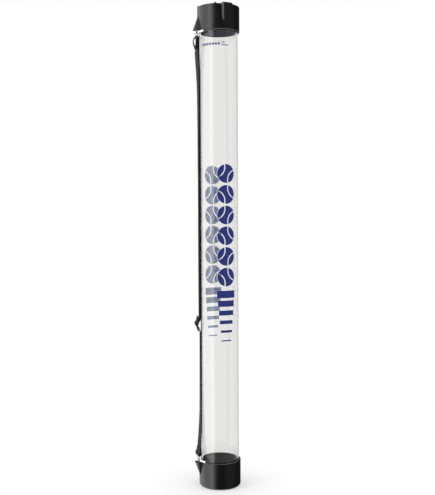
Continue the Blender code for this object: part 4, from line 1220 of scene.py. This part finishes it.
# %% [markdown]
# ## The ends of the strap
#
# At the lower eye the webbing turns round the bar and is sewn flat to itself, so the tab is twice as
# thick and closes in a wedge. At the upper eye it only passes round the bar: the inner side lies on
# the tube and the outer side bows out before it comes back. Each end is one path of depth and height,
# an arc round the bar between two smooth curves. Cloth physics could drape it, but so short and stiff
# a length hardly hangs, and a drawn path comes out the same each time.

# %% The sewn end and its stitches
SEWN_LENGTH = 0.0165
SWELL, SWELL_HEIGHT = 1.15, 0.004
STITCH_HEIGHTS = (0.0112, 0.0126, 0.0140)
STITCH_COUNT, STITCH_RADIUS, STITCH_MARGIN = 15, 0.00019, 0.0022
STITCH_ARCH, STITCH_SINK, STITCH_START = 1.8, 0.6, 0.06
THREAD_SIDES = 6
lower_bar = base_top + EYE_BAR

# distance off the run's own line and height over the bar, first downwards and then upwards
SEWN_RUN = [(0.0, 0.0169), (-0.00007, 0.0135), (-0.00063, 0.0090)]
SEWN_TAIL = [(0.00151, 0.0090), (0.00160, 0.0125), (0.00140, 0.0153)]


def stitches(face):
    """Rows of short stitches across the tab: low arches of thread along a half sine.

    face holds (depth, height) points of the surface that they lie on.
    """
    grids = []
    reach = STRAP_WIDTH / 2 - STITCH_MARGIN
    starts = np.linspace(-reach, reach, STITCH_COUNT + 1)
    share = np.linspace(STITCH_START, 1 - STITCH_START, 7)
    arch = STITCH_RADIUS * (STITCH_ARCH * np.sin(np.pi * share) - STITCH_SINK)
    for height in lower_bar + np.array(STITCH_HEIGHTS):
        depth = np.interp(height, face[:, 1], face[:, 0])
        for left, right in zip(starts[:-1], starts[1:]):
            path = np.stack([-(depth + arch), -(left + (right - left) * share), height + 0 * share], -1)
            grids.append(swept(path, circle(STITCH_RADIUS, THREAD_SIDES), UPWARD))
    return grids


def sewn_end():
    """The strap's own run from above the bar, down, round it and up to the cut tail, and its stitches.

    On both sides of the bar the webbing swells out a little before it closes to the sewn wedge.
    """
    line = (TUBE_RADIUS + INNER_STRAND + lie_at(lower_bar + SEWN_LENGTH)[1], lower_bar)
    swell, touch = SWELL * WEBBING_BEND, WEBBING_BEND
    run = smooth_path(joined(line + np.array(SEWN_RUN), (HOOK_RADIAL - swell, lower_bar + SWELL_HEIGHT),
                             (HOOK_RADIAL - touch, lower_bar)), 6)
    wrap = arc((HOOK_RADIAL, lower_bar), WEBBING_BEND, 180, 360, 18)
    back = smooth_path(joined((HOOK_RADIAL + touch, lower_bar),
                              (HOOK_RADIAL + swell, lower_bar + SWELL_HEIGHT),
                              line + np.array(SEWN_TAIL)), 6)
    path = joined(run[:-1], wrap, back[1:])
    grid, uv = webbing(path[:, 1], path[:, 0], 0.0, 0.0, path_tilt(path))
    finished(mesh_object("sewn_end_webbing", [grid], [uv]), WEBBING, "strap", "black_webbing",
             "strap_sewn_end")
    thread = mesh_object("sewn_end_stitches", stitches(back + (STRAP_THICKNESS / 2, 0.0)))
    finished(thread, THREAD, "strap", "black_webbing")


sewn_end()

# %% The loop through the upper eye
LOOP_BOW, LOOP_TURN, LOOP_LEAVE = 0.0066, 16.0, 20
CLIMB_LEAN = 0.15
upper_bar = collar_bottom - EYE_BAR

# shares of the bow and of the way down from the bar
LOOP_FALL = [(0.86, 0.16), (1.0, 0.38), (0.69, 0.66), (0.14, 0.88), (0.0, 1.0)]


def upper_loop():
    """Up the tube, over the bar, out in a slack bow and back onto the inner strand.

    The bow twists about its own length by a half sine of LOOP_TURN degrees, as slack webbing does.
    """
    off = lie_at(loop_low)[1]
    inner, outer = TUBE_RADIUS + INNER_STRAND + off, TUBE_RADIUS + OUTER_STRAND + off
    rise, spread = upper_bar - loop_low, HOOK_RADIAL + LOOP_BOW - outer
    wrap = arc((HOOK_RADIAL, upper_bar), WEBBING_BEND, 180, LOOP_LEAVE, 18)
    middle = (inner + CLIMB_LEAN * (wrap[0, 0] - inner), (loop_low + upper_bar) / 2)
    climb = smooth_path(joined((inner, loop_low), middle, wrap[0]), 8)
    fall = smooth_path(joined(wrap[-1], (outer, upper_bar) + np.array(LOOP_FALL) * (spread, -rise)), 8)
    path = joined(climb[:-1], wrap, fall[1:])
    still = len(path) - len(fall)
    twist = np.append(np.zeros(still), LOOP_TURN * np.sin(np.linspace(0, np.pi, len(fall))))
    grid, uv = webbing(path[:, 1], path[:, 0], 0.0, twist, path_tilt(path))
    finished(mesh_object("upper_loop_webbing", [grid], [uv]), WEBBING, "strap", "black_webbing",
             "upper_strap_loop")


upper_loop()

# %% [markdown]
# ## The slider
#
# The slider is a moulded frame with three bars, arched like a shallow bridge. Its side rails are one
# rounded section carried along the arch. The webbing that goes on to the lower clip passes over the
# middle bar, and the strap's other end is sewn round that bar underneath it. A flat frame could be
# bent by a modifier, but the arch's formula also says where the bars and the webbing meet.

# %% Slider sizes and its arch
SLIDER_HEIGHT, BAR_SPACING, BAR_RADIUS = 0.328, 0.012, 0.0014
RAIL_WIDTH, RAIL_DEPTH, RAIL_EASE = 0.0028, 0.0032, 0.0009
SLIDER_STAND_OFF, SLIDER_ARCH = 0.0054, 0.0018
slider_slip, slider_off = lie_at(SLIDER_HEIGHT)
slider_middle = TUBE_RADIUS + SLIDER_STAND_OFF + slider_off + SLIDER_ARCH
slider_side = np.array([math.sin(math.radians(slider_slip)), math.cos(math.radians(slider_slip)), 0.0])
slider_out = np.array([-slider_side[1], slider_side[0], 0.0])


def at_slider(depth, height, across):
    """World points from the distance off the axis, the height from the slider's middle and across."""
    depth, height, across = (value[:, None] for value in np.broadcast_arrays(depth, height, across))
    return slider_out * depth + slider_side * across + np.array(UPWARD) * (SLIDER_HEIGHT + height)


def arch(height):
    """Depth of the arch: it falls with the square of the height from the middle."""
    return slider_middle - SLIDER_ARCH * (height / BAR_SPACING) ** 2


# %% Slider frame
def slider_frame():
    """Two rails along the arch and three round bars between them."""
    reach = BAR_SPACING + BAR_RADIUS
    rail_at = STRAP_WIDTH / 2 + FIT_GAP + RAIL_WIDTH / 2
    height = np.linspace(-reach, reach, 25)
    section = rounded_rectangle(RAIL_DEPTH / 2, RAIL_WIDTH / 2, RAIL_EASE)
    frame_piece, *others = [mesh_object("slider_frame", [swept(at_slider(arch(height), height, across),
                                                               section, slider_side)])
                            for across in (-rail_at, rail_at)]
    for height in (-BAR_SPACING, 0.0, BAR_SPACING):
        path = at_slider(arch(height), height, np.array([-rail_at, rail_at]))
        others.append(mesh_object("bar", [swept(path, circle(BAR_RADIUS), slider_out)]))
    combined(frame_piece, others, 'UNION')
    finished(frame_piece, SLIDER_BLACK, "slider", "slider_plastic", "slider")


# %% The webbing in the slider
WOVEN_HALF = 0.019
TAIL_START, TAIL_END = 165, 425
WEAVE_LIFT, WEAVE_SHOULDER, WEAVE_SLOPE = np.array([0.86, 0.64, 0.29]) * STRAP_THICKNESS
NEAR_BAR, MID_SPAN, NEAR_MIDDLE, TAIL_MEET = np.array([0.71, 0.42, 0.2, 0.28]) * BAR_SPACING


def slider_webbing():
    """The woven run over the middle bar, and the tail sewn round the bar below it."""
    half = STRAP_THICKNESS / 2
    inner, outer = (TUBE_RADIUS + layer + slider_off for layer in (INNER_STRAND, OUTER_STRAND))
    wrap_radius = BAR_RADIUS + FIT_GAP + half
    crest = slider_middle + wrap_radius + STRAP_THICKNESS + FIT_GAP
    over = [(outer + WEAVE_LIFT, NEAR_BAR), (slider_middle + WEAVE_SLOPE, MID_SPAN),
            (crest - WEAVE_SHOULDER, NEAR_MIDDLE)]
    woven = smooth_path([(outer, WOVEN_HALF), (outer, BAR_SPACING), *over, (crest, 0.0),
                         *[(depth, -height) for depth, height in over[::-1]],
                         (outer - WEAVE_SLOPE, -BAR_SPACING), (inner, -WOVEN_HALF)], 8)
    lead = smooth_path([(inner, WOVEN_HALF), (inner, BAR_SPACING), (inner, NEAR_BAR),
                        (slider_middle - wrap_radius - half, TAIL_MEET)], 8)
    tail = joined(lead, arc((slider_middle, 0.0), wrap_radius, TAIL_START, TAIL_END, 30))
    for name, path, node in (("woven_webbing", woven, "slider_webbing"),
                             ("tail_webbing", tail, "slider_tail_loop")):
        grid, uv = webbing(SLIDER_HEIGHT + path[:, 1], path[:, 0], slider_slip, 0.0, path_tilt(path))
        finished(mesh_object(name, [grid], [uv]), WEBBING, "slider", "black_webbing", node)


slider_frame()
slider_webbing()

# %% [markdown]
# ## The studio
#
# The photograph is lit from the left by one large soft box, the camera's side of the room is dark, and
# the background is white. Glossy black plastic and a clear tube show little but these reflections. So a
# round studio wall that only reflections can see carries the bright and dark areas, the floor and
# the world are white, and plain lamps light the object evenly. Large lamps could make the same
# reflections, but a curve of light round the wall is easier to fit to the photograph.

# %% The floor
FLOOR_SIZE, FLOOR_DROP = 8.0, 0.0002
WHITE_NEAR, WHITE_FROM, WHITE_FULL = 0.45, 0.045, 0.15
PURE_WHITE = (1.0, 1.0, 1.0)


def mixed(tree, share, first, second):
    """Mix of two shaders: the first at a share of 0 and the second at 1."""
    return add_node(tree, "ShaderNodeMixShader", [(0, share), (1, first), (2, second)]).outputs["Shader"]


def pale_floor():
    """Floor that keeps the shadow near the tube and runs out to the background's white.

    Reflections pass it by, and rays that come through a clear piece find it plain white. For the
    camera's rays a share of white, WHITE_NEAR, lies over the lit floor up to WHITE_FROM metres off
    the axis, and rises to the whole at WHITE_FULL.
    """
    half = FLOOR_SIZE / 2
    x, y = np.meshgrid(np.linspace(-half, half, 9), np.linspace(-half, half, 9))
    floor = mesh_object("floor", [np.stack([x, y, 0 * x - FLOOR_DROP], -1)])
    material, tree, shader = new_material("floor_white", (0.93, 0.93, 0.93), 0.9, specular=0.1)
    place = add_node(tree, "ShaderNodeTexCoord").outputs["Object"]
    reach = add_node(tree, "ShaderNodeVectorMath", [(0, place)], operation='LENGTH').outputs["Value"]
    rays = add_node(tree, "ShaderNodeLightPath").outputs
    white = add_node(tree, "ShaderNodeEmission").outputs["Emission"]
    mirrored = worked(tree, 'MAXIMUM', rays["Is Glossy Ray"], rays["Is Transmission Ray"])
    near = mixed(tree, mirrored, shader.outputs["BSDF"], white)
    far = worked(tree, 'MULTIPLY', rays["Is Camera Ray"],
                 ranged(tree, reach, WHITE_NEAR, 1.0, WHITE_FROM, WHITE_FULL))
    tree.links.new(mixed(tree, far, near, white), tree.nodes["Material Output"].inputs["Surface"])
    floor.data.materials.append(material)
    floor.visible_glossy = False


pale_floor()
print("floor:", FLOOR_SIZE, "m square")

# %% The reflected studio wall
WALL_RADIUS, WALL_LOW, WALL_HIGH = 2.6, -6.0, 3.0
WALL_STOPS = [(-180, 0.4), (-160, 0.6), (-140, 1.2), (-120, 1.7), (-64, 1.9), (-52, 3.2), (-38, 3.4),
              (-28, 0.3), (-20, 0.03), (24, 0.03), (34, 0.20), (80, 0.20), (95, 0.04), (160, 0.04),
              (180, 0.4)]


def light_curve(ramp, stops):
    """Fills a curve node with straight runs through (degrees, light) stops; returns the peak light."""
    curve = ramp.mapping.curves[0]
    peak = max(light for _, light in stops)
    while len(curve.points) < len(stops):
        curve.points.new(0.5, 0.5)
    for point, (azimuth, light) in zip(curve.points, stops):
        point.location = ((azimuth + 180) / 360, light / peak)
        point.handle_type = 'VECTOR'
    ramp.mapping.update()
    return peak


def studio_wall():
    """Round wall seen only in reflections; its light depends on the azimuth from the camera's side."""
    turn = np.radians(np.linspace(0, 360, 97))
    level = np.linspace(WALL_LOW, WALL_HIGH, 5)[:, None]
    grid = np.stack([WALL_RADIUS * np.cos(turn) + 0 * level, WALL_RADIUS * np.sin(turn) + 0 * level,
                     level + 0 * turn], -1)
    wall = mesh_object("studio_wall", [grid])
    material, tree, _ = new_material("studio_light", PURE_WHITE, 1.0)
    place = add_node(tree, "ShaderNodeTexCoord").outputs["Object"]
    turned_place = add_node(tree, "ShaderNodeMapping", [("Vector", place)],
                            Rotation=(0.0, 0.0, math.radians(90 - CAMERA_AZIMUTH)))
    split = add_node(tree, "ShaderNodeSeparateXYZ", [("Vector", turned_place.outputs["Vector"])]).outputs
    angle = worked(tree, 'ARCTAN2', split["Y"], split["X"])
    ramp = add_node(tree, "ShaderNodeFloatCurve",
                    [("Value", ranged(tree, angle, 0.0, 1.0, -math.pi, math.pi))])
    light = worked(tree, 'MULTIPLY', ramp.outputs["Value"], light_curve(ramp, WALL_STOPS))
    glow = add_node(tree, "ShaderNodeEmission", [("Strength", light)])
    tree.links.new(glow.outputs["Emission"], tree.nodes["Material Output"].inputs["Surface"])
    wall.data.materials.append(material)
    wall.visible_camera = False
    wall.visible_diffuse = False
    wall.visible_transmission = False
    wall.visible_shadow = False


studio_wall()
print("wall light at most", max(light for _, light in WALL_STOPS))

# %% World and lamps
WORLD_LIGHT = 0.85
AIM_HEIGHT = 0.45

# name, azimuth from the camera's side, height, distance, size and power
LAMPS = [("key_lamp", -70, 1.7, 2.0, 1.4, 14.0), ("fill_lamp", 50, 1.3, 2.2, 1.6, 7.0)]


def white_world():
    """White for camera, glossy and transmission rays, and WORLD_LIGHT for the light on the pieces."""
    world = bpy.data.worlds.new("studio")
    bpy.context.scene.world = world
    world.use_nodes = True
    tree = world.node_tree
    rays = add_node(tree, "ShaderNodeLightPath").outputs
    seen = worked(tree, 'MAXIMUM', rays["Is Camera Ray"], rays["Is Glossy Ray"])
    seen = worked(tree, 'MAXIMUM', seen, rays["Is Transmission Ray"])
    background = tree.nodes["Background"].inputs
    tree.links.new(ranged(tree, seen, WORLD_LIGHT, 1.0), background["Strength"])
    background["Color"].default_value = (*PURE_WHITE, 1.0)


def soft_lamp(name, azimuth, height, distance, size, power):
    """Square area lamp that points at the tube's middle; reflections see the wall instead of it."""
    lamp = bpy.data.objects.new(name, bpy.data.lights.new(name, 'AREA'))
    bpy.context.scene.collection.objects.link(lamp)
    place = direction(azimuth) * distance + Vector((0, 0, height))
    aim = Vector((0, 0, AIM_HEIGHT)) - place
    lamp.matrix_world = Matrix.Translation(place) @ aim.to_track_quat('-Z', 'Y').to_matrix().to_4x4()
    lamp.data.size = size
    lamp.data.energy = power
    lamp.visible_glossy = False
    lamp.visible_camera = False
    lamp.visible_transmission = False


white_world()
for lamp, off_camera, *place_and_power in LAMPS:
    soft_lamp(lamp, CAMERA_AZIMUTH + off_camera, *place_and_power)
